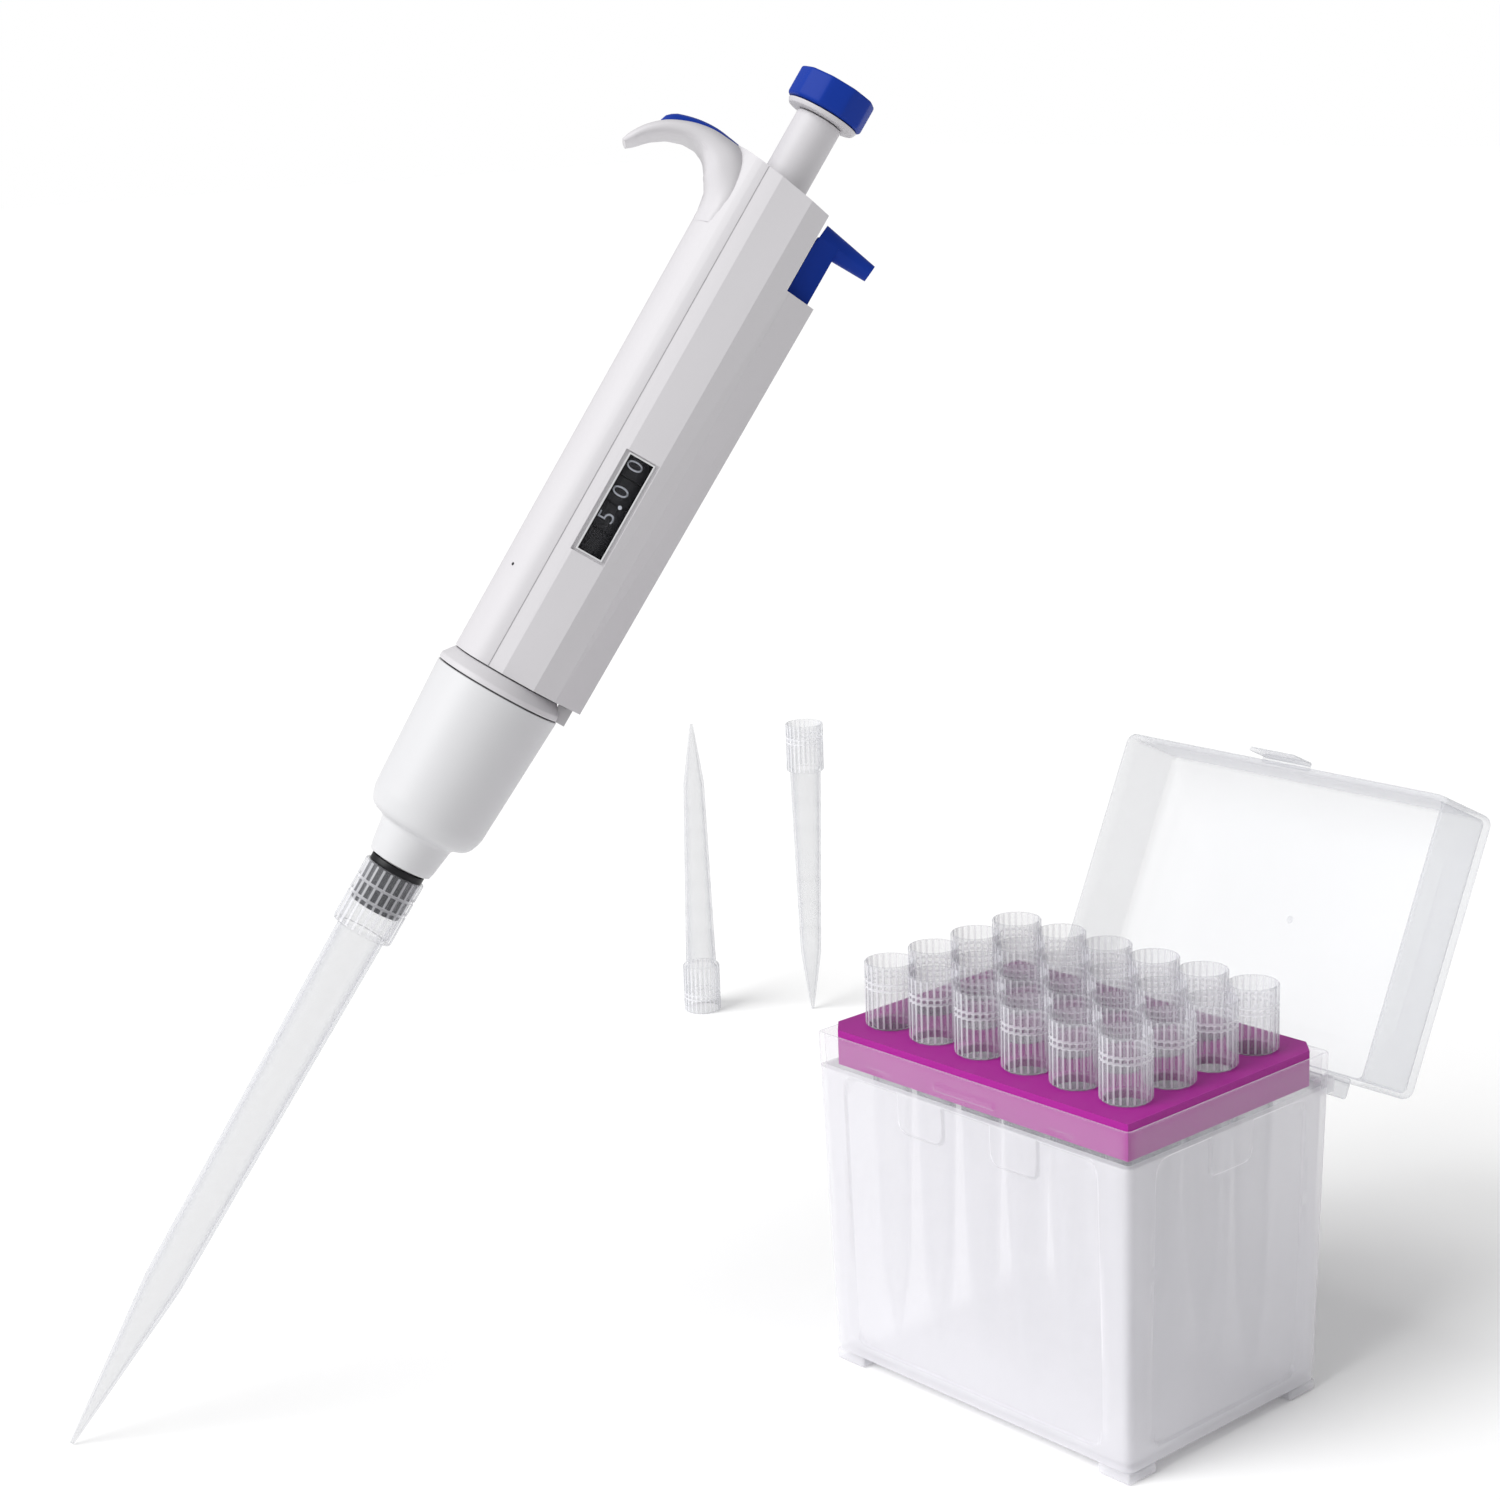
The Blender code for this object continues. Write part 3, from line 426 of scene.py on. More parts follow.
def ribbed(collar_radius, low, high):
    """Grooves on the collar's outside: r falls by 0.42 |sin(24 a / 2)|^4 mm between ribs."""

    def ripple(angle, radius, height):
        on_collar = (height > low) & (height < high) & (radius > collar_radius - 0.1)
        groove = np.abs(np.sin(TIP_RIBS * angle / 2)) ** 4
        return radius - np.where(on_collar, GROOVE_DEEP * groove, 0.0)

    return ripple


RACK_TIP = tip_profile(
    RACK_TIP_LENGTH, RACK_TIP_RADIUS, RACK_TIP_COLLAR, 5.8, 23.0, 3.9, 0.75, (5.2, 6.9),
    (82.0, 72.0, 62.0, 52.0, 42.0, 33.0),
)
MOUNTED_TIP = tip_profile(
    MOUNTED_TIP_LENGTH, MOUNTED_TIP_RADIUS, MOUNTED_TIP_COLLAR, 6.9, 51.0, 5.35, 0.85,
    (5.4, 9.7), (),
)


def upside_down(profile, length):
    return [(radius, length - height) for radius, height in profile][::-1]


def make_tip(name, profile, node, body, place, low, high, collar_radius=RACK_TIP_RADIUS):
    """A tip in its place, its collar ribbed between the heights low and high."""
    ripple = ribbed(collar_radius, low, high)
    tip = lathe(name, profile, place, TIP_PLASTIC, TIP_AROUND, ripple)
    paint_rib_highlights(tip, profile, collar_radius)
    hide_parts(node)
    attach(tip, body)


def standing_at(node):
    """A placement, in millimetres, with its origin under the middle of a node's box."""
    low, high = (np.array(corner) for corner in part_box(node))
    middle = (low + high) / 2
    return Matrix.Translation((middle[0], middle[1], low[2])) @ Matrix.Scale(MM, 4)


COLLAR_LOW, COLLAR_HIGH = RACK_TIP_LENGTH - RACK_TIP_COLLAR + 0.4, RACK_TIP_LENGTH - 0.35
for row in "ABCD":
    for column in range(1, 7):
        node = f"rack_tip_{row}{column}"
        make_tip(
            f"tip_{row}{column}_fine", RACK_TIP, node, f"tip_{row}{column}", standing_at(node),
            COLLAR_LOW, COLLAR_HIGH,
        )
make_tip(
    "loose_tip_right_fine", RACK_TIP, "loose_tip_right", "loose_tip_right",
    standing_at("loose_tip_right"), COLLAR_LOW, COLLAR_HIGH,
)
make_tip(
    "loose_tip_left_fine", upside_down(RACK_TIP, RACK_TIP_LENGTH), "loose_tip_left",
    "loose_tip_left", standing_at("loose_tip_left"),
    RACK_TIP_LENGTH - COLLAR_HIGH, RACK_TIP_LENGTH - COLLAR_LOW,
)
make_tip(
    "mounted_tip_fine", MOUNTED_TIP, "mounted_tip", "mounted_tip", PIPETTE,
    MOUNTED_TIP_LENGTH - MOUNTED_TIP_COLLAR + 0.4, MOUNTED_TIP_LENGTH - 0.35, MOUNTED_TIP_RADIUS,
)

# ---------------------------------------------------------------- rack deck
# The plate that the tips hang in, moulded in purple polypropylene with a short skirt. It drops
# on to ledges inside the box.

PURPLE_PLASTIC = moulded_plastic("purple_plastic", linear(158, 14, 138), 0.45, 0.02, 0.08)


def finish_nodes(material, *nodes):
    """Gives CAD nodes whose shape is right their finished material."""
    for node in nodes:
        slots = frame["nodes"][node].data.materials
        slots.clear()
        slots.append(material)


finish_nodes(PURPLE_PLASTIC, "deck")

# ---------------------------------------------------------------- rack base
# A tall box of frosted polypropylene with drafted walls, corner posts that end in feet, a
# recessed panel on each side with hanging tongues, and a catch under the front rim. The deck
# and the tips show faintly through it.

FROSTED_PLASTIC = clear_plastic(
    "frosted_plastic", linear(240, 239, 244), 0.38, 0.5, 0.4, 25.0, 0.15, 0.1
)
BAND_PLASTIC = clear_plastic("band_plastic", linear(236, 236, 242), 0.05, 0.5, 0.3, 25.0, 0.15)
BAND_FOOT = 87.9
RACK_LENGTH, RACK_WIDTH, RACK_HEIGHT = 113.7, 82.2, 97.7
RACK_DRAFT, RACK_WALL = 2.4, 1.5
BOX_FOOT, FLOOR_TOP = 2.9, 4.3
POST = 11.0
PANEL_TOP, PANEL_FOOT, PANEL_DEEP, PANEL_CORNER = 87.5, 7.5, 0.7, 5.0


def side_lines(half, extra):
    """Places along one side, from -half to half: even steps and closer ones at extra places."""
    even = np.linspace(-half, half, int(half / 0.9))
    close = [place + np.linspace(-1.0, 1.0, 9) for place in extra]
    lines = np.unique(np.round(np.concatenate([even, *close]), 3))
    lines = lines[np.abs(lines) <= half]
    return lines[np.insert(np.diff(lines) > 0.12, 0, True)]


def rounded_ring(half_x, half_y, corner, lines_x, lines_y, turn_steps=6):
    """A rounded rectangle's points, anticlockwise: straight sides stretched from lines on the
    full-size box and quarter circles of the corner radius between them."""
    straight_x = lines_x / np.abs(lines_x).max() * (half_x - corner)
    straight_y = lines_y / np.abs(lines_y).max() * (half_y - corner)
    quarter = np.linspace(0, np.pi / 2, turn_steps + 2)[1:-1]
    pieces = []
    for turn, along, reach_x, reach_y in (
        (0, straight_x, half_x, half_y),
        (1, straight_y, half_y, half_x),
        (2, straight_x, half_x, half_y),
        (3, straight_y, half_y, half_x),
    ):
        side = np.stack([along, np.full_like(along, -reach_y)], axis=-1)
        angle = quarter - np.pi / 2
        arc = np.stack([np.cos(angle), np.sin(angle)], axis=-1) * corner
        arc += (reach_x - corner, corner - reach_y)
        block = np.concatenate([side, arc])
        c, s = math.cos(turn * math.pi / 2), math.sin(turn * math.pi / 2)
        pieces.append(block @ np.array([[c, s], [-s, c]]))
    return np.concatenate(pieces)


def smooth_step(value, low, high):
    share = np.clip((value - low) / (high - low), 0, 1)
    return share * share * (3 - 2 * share)


def box_distance(along, height, middle_along, middle_height, half_along, half_height, corner):
    """The signed distance, in millimetres, outside a rounded rectangle drawn on a wall."""
    over_a = np.abs(along - middle_along) - (half_along - corner)
    over_h = np.abs(height - middle_height) - (half_height - corner)
    outside = np.hypot(np.maximum(over_a, 0), np.maximum(over_h, 0))
    return outside + np.minimum(np.maximum(over_a, over_h), 0) - corner


def wall_relief(along, height, half, tongues, front):
    """How far the wall's outer face moves in, in millimetres, at places on it.

    The panel is a rounded rectangle; each tongue is a rounded tab that hangs into it from its
    top edge. The step between two levels is 0.7 mm wide.
    """
    middle, tall = (PANEL_TOP + PANEL_FOOT) / 2, (PANEL_TOP - PANEL_FOOT) / 2
    panel = box_distance(along, height, 0, middle, half - POST, tall, PANEL_CORNER)
    depth = PANEL_DEEP * (1 - smooth_step(panel, -0.35, 0.35))
    for place, wide, deep in tongues:
        tab = box_distance(along, height, place, PANEL_TOP, wide / 2, deep, 3.0)
        depth *= smooth_step(tab, -0.35, 0.35)
    if front:
        catch = box_distance(along, height, 0, RACK_HEIGHT - 4.5, 11.0, 1.0, 0.4)
        depth -= 0.6 * (1 - smooth_step(catch, -0.3, 0.3))
        for side in (-1, 1):
            slot = box_distance(along, height, side * 33.0, RACK_HEIGHT - 6.2, 3.6, 0.7, 0.3)
            depth += 0.5 * (1 - smooth_step(slot, -0.25, 0.25))
    return depth


LONG_TONGUES = ((-17.0, 17.0, 11.0), (17.0, 17.0, 11.0))
SHORT_TONGUES = ((0.0, 17.0, 11.0),)
tongue_edges = [-25.5, -8.5, 8.5, 25.5]
post_x, post_y = RACK_LENGTH / 2 - POST, RACK_WIDTH / 2 - POST
lines_x = side_lines(RACK_LENGTH / 2 - 2.5, [-post_x, post_x, *tongue_edges, -11, 11])
lines_y = side_lines(RACK_WIDTH / 2 - 2.5, [-post_y, post_y, -8.5, 8.5])
heights = side_lines(50.0, []) + 50.0
level_steps = [PANEL_TOP, PANEL_TOP - 11.0, PANEL_FOOT]
level_steps += [RACK_HEIGHT - drop for drop in (3.5, 5.5, 6.2)]
close = [place + np.linspace(-1.0, 1.0, 9) for place in level_steps]
heights = np.unique(np.concatenate([heights, *close]))
heights = heights[(heights > BOX_FOOT + 1.0) & (heights < RACK_HEIGHT - 0.6)]
heights = heights[np.insert(np.diff(heights) > 0.12, 0, True)]


def drafted(height):
    """How much each side of the box is drawn in at a height."""
    return RACK_DRAFT * (1 - height / RACK_HEIGHT)


def at_height(ring, height):
    """A flat ring of (x, y) points, lifted to one height."""
    return np.concatenate([ring, np.full((len(ring), 1), height)], axis=1)


def base_ring(height, inset, corner, relief=False):
    inset = inset + drafted(height)
    ring = rounded_ring(RACK_LENGTH / 2 - inset, RACK_WIDTH / 2 - inset, corner, lines_x, lines_y)
    if relief:
        x, y = ring[:, 0].copy(), ring[:, 1].copy()
        half_x, half_y = RACK_LENGTH / 2 - inset, RACK_WIDTH / 2 - inset
        for sign in (-1, 1):
            on_long = (y * sign > half_y - 0.001) & (np.abs(x) < half_x - corner)
            on_short = (x * sign > half_x - 0.001) & (np.abs(y) < half_y - corner)
            tall = np.full(x.shape, height)
            deep = wall_relief(x, tall, RACK_LENGTH / 2, LONG_TONGUES, sign < 0)
            ring[on_long, 1] -= sign * deep[on_long]
            deep = wall_relief(y, tall, RACK_WIDTH / 2, SHORT_TONGUES, False)
            ring[on_short, 0] -= sign * deep[on_short]
    return at_height(ring, height)


outer_rings = [
    base_ring(BOX_FOOT, 20.0, 2.0),
    base_ring(BOX_FOOT, 0.8, 2.2),
    base_ring(BOX_FOOT + 0.25, 0.2, 2.5),
]
outer_rings += [base_ring(height, 0.0, 2.5, True) for height in heights]
rim_rings = [
    base_ring(RACK_HEIGHT - 0.25, 0.0, 2.5),
    base_ring(RACK_HEIGHT, 0.25, 2.3),
    base_ring(RACK_HEIGHT, RACK_WALL - 0.25, 1.3),
    base_ring(RACK_HEIGHT - 0.25, RACK_WALL, 1.2),
]
inner_heights = np.linspace(RACK_HEIGHT - 1, FLOOR_TOP + 0.6, 12)
inner_rings = [base_ring(height, RACK_WALL, 1.2) for height in inner_heights]
inner_rings += [base_ring(FLOOR_TOP, RACK_WALL + 0.6, 1.0), base_ring(FLOOR_TOP, 20.0, 1.0)]
box_rings = np.stack(outer_rings + rim_rings + inner_rings)
box_body = loft("rack_box", box_rings, UPRIGHT, FROSTED_PLASTIC, smooth_angle=50.0)
box_body.data.materials.append(BAND_PLASTIC)
for face in box_body.data.polygons:
    face.material_index = int(face.center.z > BAND_FOOT * MM)


def soft_block(name, low, high, radius, place, material):
    """A box whose edges are rounded, as a loft of rounded rectangles in X and Y."""
    low, high = np.array(low, float), np.array(high, float)
    half = (high - low) / 2
    middle = (high + low) / 2
    radius = min(radius, *(half * 0.9))
    angle = np.linspace(0, np.pi / 2, 5)
    inset = radius * (1 - np.sin(angle))
    lift = radius * (1 - np.cos(angle))
    levels = [(i, -half[2] + z) for i, z in zip(inset, lift)]
    levels += [(i, half[2] - z) for i, z in zip(inset[::-1], lift[::-1])]
    lines = np.linspace(-1, 1, 3)
    rings = []
    for drawn_in, height in levels:
        corner = max(radius - drawn_in, 0.05)
        ring = rounded_ring(half[0] - drawn_in, half[1] - drawn_in, corner, lines, lines, 3)
        rings.append(at_height(ring, height) + middle)
    return loft(name, np.stack(rings), place, material)


def joined(name, objects):
    """One object from several that lie in the same frame, each a closed body of its own."""
    bm = bmesh.new()
    for obj in objects:
        bm.from_mesh(obj.data)
    mesh = bpy.data.meshes.new(name)
    bm.to_mesh(mesh)
    bm.free()
    for material in objects[0].data.materials:
        mesh.materials.append(material)
    whole = linked(name, mesh)
    for obj in objects:
        bpy.data.objects.remove(obj, do_unlink=True)
    return whole


box_parts = [box_body]
foot_x, foot_y = RACK_LENGTH / 2 - RACK_DRAFT, RACK_WIDTH / 2 - RACK_DRAFT
for sx in (-1, 1):
    for sy in (-1, 1):
        near = np.array([sx * (foot_x - POST), sy * (foot_y - POST), 0.0])
        far = np.array([sx * foot_x, sy * foot_y, BOX_FOOT + 0.2])
        low, high = np.minimum(near, far), np.maximum(near, far)
        box_parts.append(soft_block("rack_foot", low, high, 0.8, UPRIGHT, FROSTED_PLASTIC))
HINGE_Y, HINGE_Z = RACK_WIDTH / 2 + 2.6, RACK_HEIGHT - 11.0
ARM_HALF, EAR_WIDE, BARREL, PIN_BORE = 4.0, 3.0, 2.3, 1.4
HINGE_CENTRES = (-47.0, 47.0)
for centre in HINGE_CENTRES:
    for side in (-1, 1):
        near = centre + side * (ARM_HALF + 0.3)
        far = near + side * EAR_WIDE
        low = (min(near, far), RACK_WIDTH / 2 - 1.6, HINGE_Z - BARREL)
        high = (max(near, far), HINGE_Y + BARREL, HINGE_Z + BARREL)
        box_parts.append(soft_block("hinge_ear", low, high, 0.9, UPRIGHT, FROSTED_PLASTIC))
rack_box = joined("rack_box_fine", box_parts)
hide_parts("rack_base")
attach(rack_box, "rack")
finish_nodes(FROSTED_PLASTIC, "hinge_pin_left", "hinge_pin_right")

# ---------------------------------------------------------------- rack lid
# A clear lid moulded in the same plastic, thinner and less frosted, with a raised field on its
# roof, a finger tab on its free edge and two arms round the hinge pins. It is drawn shut round
# its hinge line and laid open by the lid's rest angle.

LID_PLASTIC = clear_plastic("lid_plastic", linear(214, 216, 222), 0.14, 0.55, 0.22, 18.0, 0.25, 0.12)
LID_OPEN = math.radians(116.0)
LID_RIM, LID_ROOF = 11.3, 37.3
LID_FRONT, LID_BACK = -(RACK_WIDTH + 2.6), -2.6
LID = UPRIGHT @ Matrix.Translation((0, HINGE_Y, HINGE_Z)) @ Matrix.Rotation(-LID_OPEN, 4, "X")
LID_WALL, LID_CORNER = 1.5, 3.0
lid_lines_x, lid_lines_y = np.linspace(-1, 1, 60), np.linspace(-1, 1, 44)


def lid_ring(height, inset, corner):
    ring = rounded_ring(
        RACK_LENGTH / 2 - inset, RACK_WIDTH / 2 - inset, corner, lid_lines_x, lid_lines_y
    )
    ring = ring + (0, (LID_FRONT + LID_BACK) / 2)
    return at_height(ring, height)


EDGE = 1.8
FIELD_INSET, FIELD_RISE = 12.0, 0.55
lid_rings = [lid_ring(LID_RIM, 0.3, LID_CORNER - 0.3), lid_ring(LID_RIM + 0.3, 0.0, LID_CORNER)]
side_levels = np.linspace(LID_RIM + 2, LID_ROOF - 2.4, 8)
lid_rings += [lid_ring(height, 0.0, LID_CORNER) for height in side_levels]
lid_rings += [
    lid_ring(LID_ROOF - FIELD_RISE - EDGE * (1 - math.sin(a)), EDGE * (1 - math.cos(a)), LID_CORNER)
    for a in np.linspace(0, np.pi / 2, 6)
]
lid_rings += [
    lid_ring(LID_ROOF - FIELD_RISE, FIELD_INSET - 0.5, 6.0),
    lid_ring(LID_ROOF - 0.1, FIELD_INSET, 6.0),
    lid_ring(LID_ROOF, FIELD_INSET + 0.4, 6.0),
    lid_ring(LID_ROOF, 30.0, 6.0),
]
lid_rings += [
    lid_ring(LID_ROOF - 2.0, 30.0, 6.0),
    lid_ring(LID_ROOF - 2.0, FIELD_INSET, 6.0),
    lid_ring(LID_ROOF - LID_WALL - FIELD_RISE, LID_WALL + 1.2, 2.0),
    lid_ring(LID_ROOF - LID_WALL - FIELD_RISE - 1.2, LID_WALL, 1.6),
]
bore_levels = np.linspace(LID_ROOF - 5, LID_RIM + 0.3, 6)
lid_rings += [lid_ring(height, LID_WALL, 1.6) for height in bore_levels]
lid_rings += [lid_ring(LID_RIM, LID_WALL - 0.3, 1.8)]

# The skin runs from the middle of the roof's inner face, round the rim, to its outer face.
split = next(i for i, ring in enumerate(lid_rings) if abs(ring[0, 2] - (LID_ROOF - 2.0)) < 1e-6)
skin_rings = np.stack(lid_rings[split:] + lid_rings[:split])
lid_parts = [loft("lid_skin", skin_rings, LID, LID_PLASTIC, smooth_angle=50.0)]
TAB_HALF = 8.0
for part, near, foot, far in (("lid_tab", -2.2, -5.5, -0.9), ("lid_tab_root", -2.0, 1.5, 0.6)):
    low = (-TAB_HALF, LID_FRONT + near, LID_RIM + foot)
    high = (TAB_HALF, LID_FRONT + far, LID_RIM + 4.0)
    lid_parts.append(soft_block(part, low, high, 0.6, LID, LID_PLASTIC))
for centre in HINGE_CENTRES:
    high = (centre + ARM_HALF, BARREL, LID_RIM + 3.0)
    low = (centre - ARM_HALF, -BARREL, 0.0)
    lid_parts.append(soft_block("lid_arm", low, high, 0.8, LID, LID_PLASTIC))
    low = (centre - ARM_HALF, LID_BACK - 1.0, LID_RIM + 0.5)
    lid_parts.append(soft_block("lid_arm_root", low, high, 0.8, LID, LID_PLASTIC))
    barrel = [(BARREL, ARM_HALF), (BARREL, -ARM_HALF), (PIN_BORE, -ARM_HALF), (PIN_BORE, ARM_HALF)]
    along_pin = LID @ Matrix.Translation((centre, 0, 0)) @ Matrix.Rotation(math.pi / 2, 4, "Y")
    lid_parts.append(lathe("lid_barrel", rounded(barrel, 0.3), along_pin, LID_PLASTIC, 32))
gate_profile = [(0.02, 0.0), (0.9, -0.02), (1.1, -0.3), (0.02, -0.3)]
gate_profile = [(radius, LID_ROOF + height) for radius, height in gate_profile]
gate_place = LID @ Matrix.Translation((0, (LID_FRONT + LID_BACK) / 2, 0))
lid_parts.append(lathe("lid_gate", gate_profile, gate_place, LID_PLASTIC, 24, closed=False))
lid = joined("lid_fine", lid_parts)
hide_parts("lid")
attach(lid, "lid")

# ---------------------------------------------------------------- nozzle and its black seal
# The white cone that tips are pushed on to, with a black elastomer sleeve over its end that
# seals in the tip's collar and shows through it.

WHITE_PLASTIC = moulded_plastic("white_plastic", linear(200, 198, 201), 0.48, 0.02, 0.02)
BLACK_RUBBER = moulded_plastic("black_rubber", linear(14, 14, 18), 0.45, 0.03, 0.3)

nozzle_profile = [
    (9.5, 203.0), (9.5, 200.2), (6.2, 200.2), (6.2, 182.2), (5.6, 169.0), (1.5, 169.0), (1.5, 203.0),
]
nozzle = lathe("nozzle_fine", rounded(nozzle_profile, 0.4), PIPETTE, WHITE_PLASTIC, 72)
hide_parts("nozzle")
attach(nozzle, "handle")
seal_profile = [(7.8, 181.9), (7.8, 180.2), (7.45, 179.6), (7.2, 168.4), (5.95, 168.4), (6.55, 181.9)]
seal = lathe("nozzle_seal_fine", rounded(seal_profile, 0.35), PIPETTE, BLACK_RUBBER, 72)
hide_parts("nozzle_seal")
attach(seal, "handle")

# ---------------------------------------------------------------- ejector sleeve and collar ring
# The tapered white sleeve round the piston's cylinder, which slides down to push the tip off,
# and the bevelled ring that the handle screws against it with.

SLEEVE_PLASTIC = moulded_plastic("sleeve_plastic", linear(204, 204, 206), 0.42, 0.02, 0.02)
sleeve_profile = [
    (18.06, 236.0),
    (16.25, 197.6),
    (14.6, 193.6),
    (10.5, 192.1),
    (9.4, 184.2),
    (8.9, 182.4),
    (8.2, 182.4),
    (8.6, 193.8),
    (14.2, 197.0),
    (14.8, 199.0),
    (16.5, 236.0),
]
sleeve_radii = [0.4, 2.6, 3.0, 1.2, 1.0, 0.25, 0.25, 1.0, 0.6, 0.6, 0.3]
sleeve_profile = rounded(sleeve_profile, sleeve_radii, 8)
sleeve = lathe("ejector_sleeve_fine", sleeve_profile, PIPETTE, SLEEVE_PLASTIC, 144)
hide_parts("ejector_sleeve")
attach(sleeve, "ejector")

collar_profile = [(15.6, 241.0), (18.0, 237.9), (18.06, 236.4), (13.0, 236.4), (13.0, 241.0)]


NOTCH_RADIUS = 15.0


def collar_notch(angle, radius, height):
    """Draws the ring in to r = 15 where the ejector's arm passes, at the +X side."""
    notch = np.abs(np.angle(np.exp(1j * angle))) < math.radians(11.0)
    return np.where(notch & (radius > NOTCH_RADIUS), NOTCH_RADIUS, radius)


collar_profile = rounded(collar_profile, 0.35)
collar = lathe("collar_ring_fine", collar_profile, PIPETTE, WHITE_PLASTIC, 180, collar_notch)
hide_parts("collar_ring")
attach(collar, "handle")

# ---------------------------------------------------------------- handle shells
# Two moulded halves: a faceted front with the display's recess and the ejector's notch, and a
# rounded back. They meet at an upright seam. The finger hook is lofted along its own curve and
# is one with the back.

SEAM, SEAM_GAP = -5.4, 0.3
BODY_FOOT, BODY_TALL, BODY_GROWTH = 241.4, 149.0, 0.05
BODY_HALF_X, BODY_HALF_Y = 10.4, 14.2
ROOT_FOOT, ROOT_LOW, ROOT_HIGH, ROOT_OUT = 355.0, 373.0, 386.0, -22.5


def merged_copy(node, name, material, smooth_angle=30.0):
    """A copy of a CAD node with its doubled corners merged and its flat faces made whole."""
    mesh = frame["nodes"][node].data.copy()
    mesh.name = name
    obj = linked(name, mesh)
    bm = bmesh.new()
    bm.from_mesh(mesh)
    bmesh.ops.remove_doubles(bm, verts=bm.verts, dist=0.00002)
    flat = math.radians(0.5)
    bmesh.ops.dissolve_limit(bm, angle_limit=flat, verts=bm.verts, edges=bm.edges)
    bm.to_mesh(mesh)
    bm.free()
    mesh.shade_smooth()
    mesh.set_sharp_from_angle(angle=math.radians(smooth_angle))
    mesh.materials.clear()
    mesh.materials.append(material)
    return obj


def soften(obj, width, segments=3, angle=25.0, left_sharp=None):
    """Rounds the edges that turn by more than angle, by width millimetres.

    left_sharp(point) is true where a point of the upright pipette, in millimetres, lies on an
    edge that stays sharp.
    """
    bm = bmesh.new()
    bm.from_mesh(obj.data)
    weight = bm.edges.layers.float.new("bevel_weight_edge")
    upright = PIPETTE.inverted()
    for edge in bm.edges:
        turned = len(edge.link_faces) == 2 and edge.calc_face_angle() > math.radians(angle)
        sharp = left_sharp and all(left_sharp(upright @ vertex.co) for vertex in edge.verts)
        edge[weight] = float(turned and not sharp)
    bm.to_mesh(obj.data)
    bm.free()
    bevel = obj.modifiers.new("Bevel", "BEVEL")
    bevel.width = width * MM
    bevel.segments = segments
    bevel.limit_method = "WEIGHT"
    bevel.use_clamp_overlap = True
    return obj


def baked(obj):
    """The object with its modifiers made part of its mesh."""
    bpy.context.view_layer.update()
    evaluated = obj.evaluated_get(bpy.context.evaluated_depsgraph_get())
    obj.data = bpy.data.meshes.new_from_object(evaluated)
    obj.modifiers.clear()
    return obj


def eased_path(stations, steps=4):
    """Stations joined by a Catmull-Rom curve: each value's slope is its neighbours' half step."""
    stations = np.array(stations, float)
    before = np.concatenate([2 * stations[:1] - stations[1:2], stations[:-1]])
    after = np.concatenate([stations[1:], 2 * stations[-1:] - stations[-2:-1]])
    slope = (after - before) / 2
    t = (np.arange(steps) / steps)[:, None, None]
    start, end = stations[None, :-1], stations[None, 1:]
    leave, reach = slope[None, :-1], slope[None, 1:]
    curve = (
        (2 * t**3 - 3 * t**2 + 1) * start
        + (t**3 - 2 * t**2 + t) * leave
        + (3 * t**2 - 2 * t**3) * end
        + (t**3 - t**2) * reach
    )
    return np.concatenate([curve.transpose(1, 0, 2).reshape(-1, stations.shape[1]), stations[-1:]])


def along_path(path):
    """For each (x, z) of a path, the unit vector that stands on it, as an (n, 3) array."""
    run = np.gradient(path[:, :2], axis=0)
    run /= np.linalg.norm(run, axis=1, keepdims=True)
    return np.stack([run[:, 1], np.zeros(len(path)), -run[:, 0]], axis=-1)


def body_widening(height):
    """The body's section grows by a twentieth from its foot to its top."""
    return 1.0 + BODY_GROWTH * (height - BODY_FOOT) / BODY_TALL


def eased_root(points):
    """Draws the hook's root in to the body, for an (n, 3) array of upright points.

    e is a point's place against the body's half ellipse (1 on it). What stands out, e - 1, is
    kept in full above z = 386 and fades to nothing at z = 373, as a smooth step.
    """
    wide = body_widening(points[:, 2])
    middle = SEAM * wide
    x, y, z = points.T
    e = np.hypot((x - middle) / (BODY_HALF_X * wide), y / (BODY_HALF_Y * wide))
    root = (x < SEAM) & (x > ROOT_OUT) & (z > ROOT_FOOT) & (z < ROOT_HIGH)
    kept = 1.0 + np.maximum(e - 1.0, 0) * smooth_step(z, ROOT_LOW, ROOT_HIGH)
    share = np.where((e > 1.005) & root, kept / np.maximum(e, 1e-6), 1.0)
    drawn = points.copy()
    drawn[:, 0] = middle + (x - middle) * share
    drawn[:, 1] = y * share
    return drawn


HOOK_STATIONS = (  # centre line (x, z), half width, half thickness, from the body to the tip
    (-8.5, 360.0, 8.0, 4.5),
    (-10.0, 368.0, 10.6, 5.6),
    (-11.2, 374.5, 12.0, 6.0),
    (-12.6, 380.5, 12.7, 6.6),
    (-15.6, 386.4, 12.6, 6.5),
    (-20.5, 389.3, 11.8, 4.2),
    (-25.0, 390.0, 11.2, 3.1),
    (-29.5, 389.3, 10.8, 2.5),
    (-34.0, 387.4, 10.4, 2.2),
    (-37.8, 384.4, 9.9, 1.9),
    (-40.6, 380.9, 9.0, 1.5),
    (-42.0, 378.9, 7.2, 0.9),
)

front = merged_copy("front_shell", "front_shell_fine", WHITE_PLASTIC)
upright = PIPETTE.inverted()
for vertex in front.data.vertices:
    place = upright @ vertex.co
    if place.x < SEAM + SEAM_GAP + 0.1:
        place.x = SEAM * body_widening(place.z) + 0.02
        vertex.co = PIPETTE @ place
front = soften(front, 0.45, 3, 12.0, lambda place: place.x < SEAM + 0.1)
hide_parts("front_shell")
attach(front, "handle")

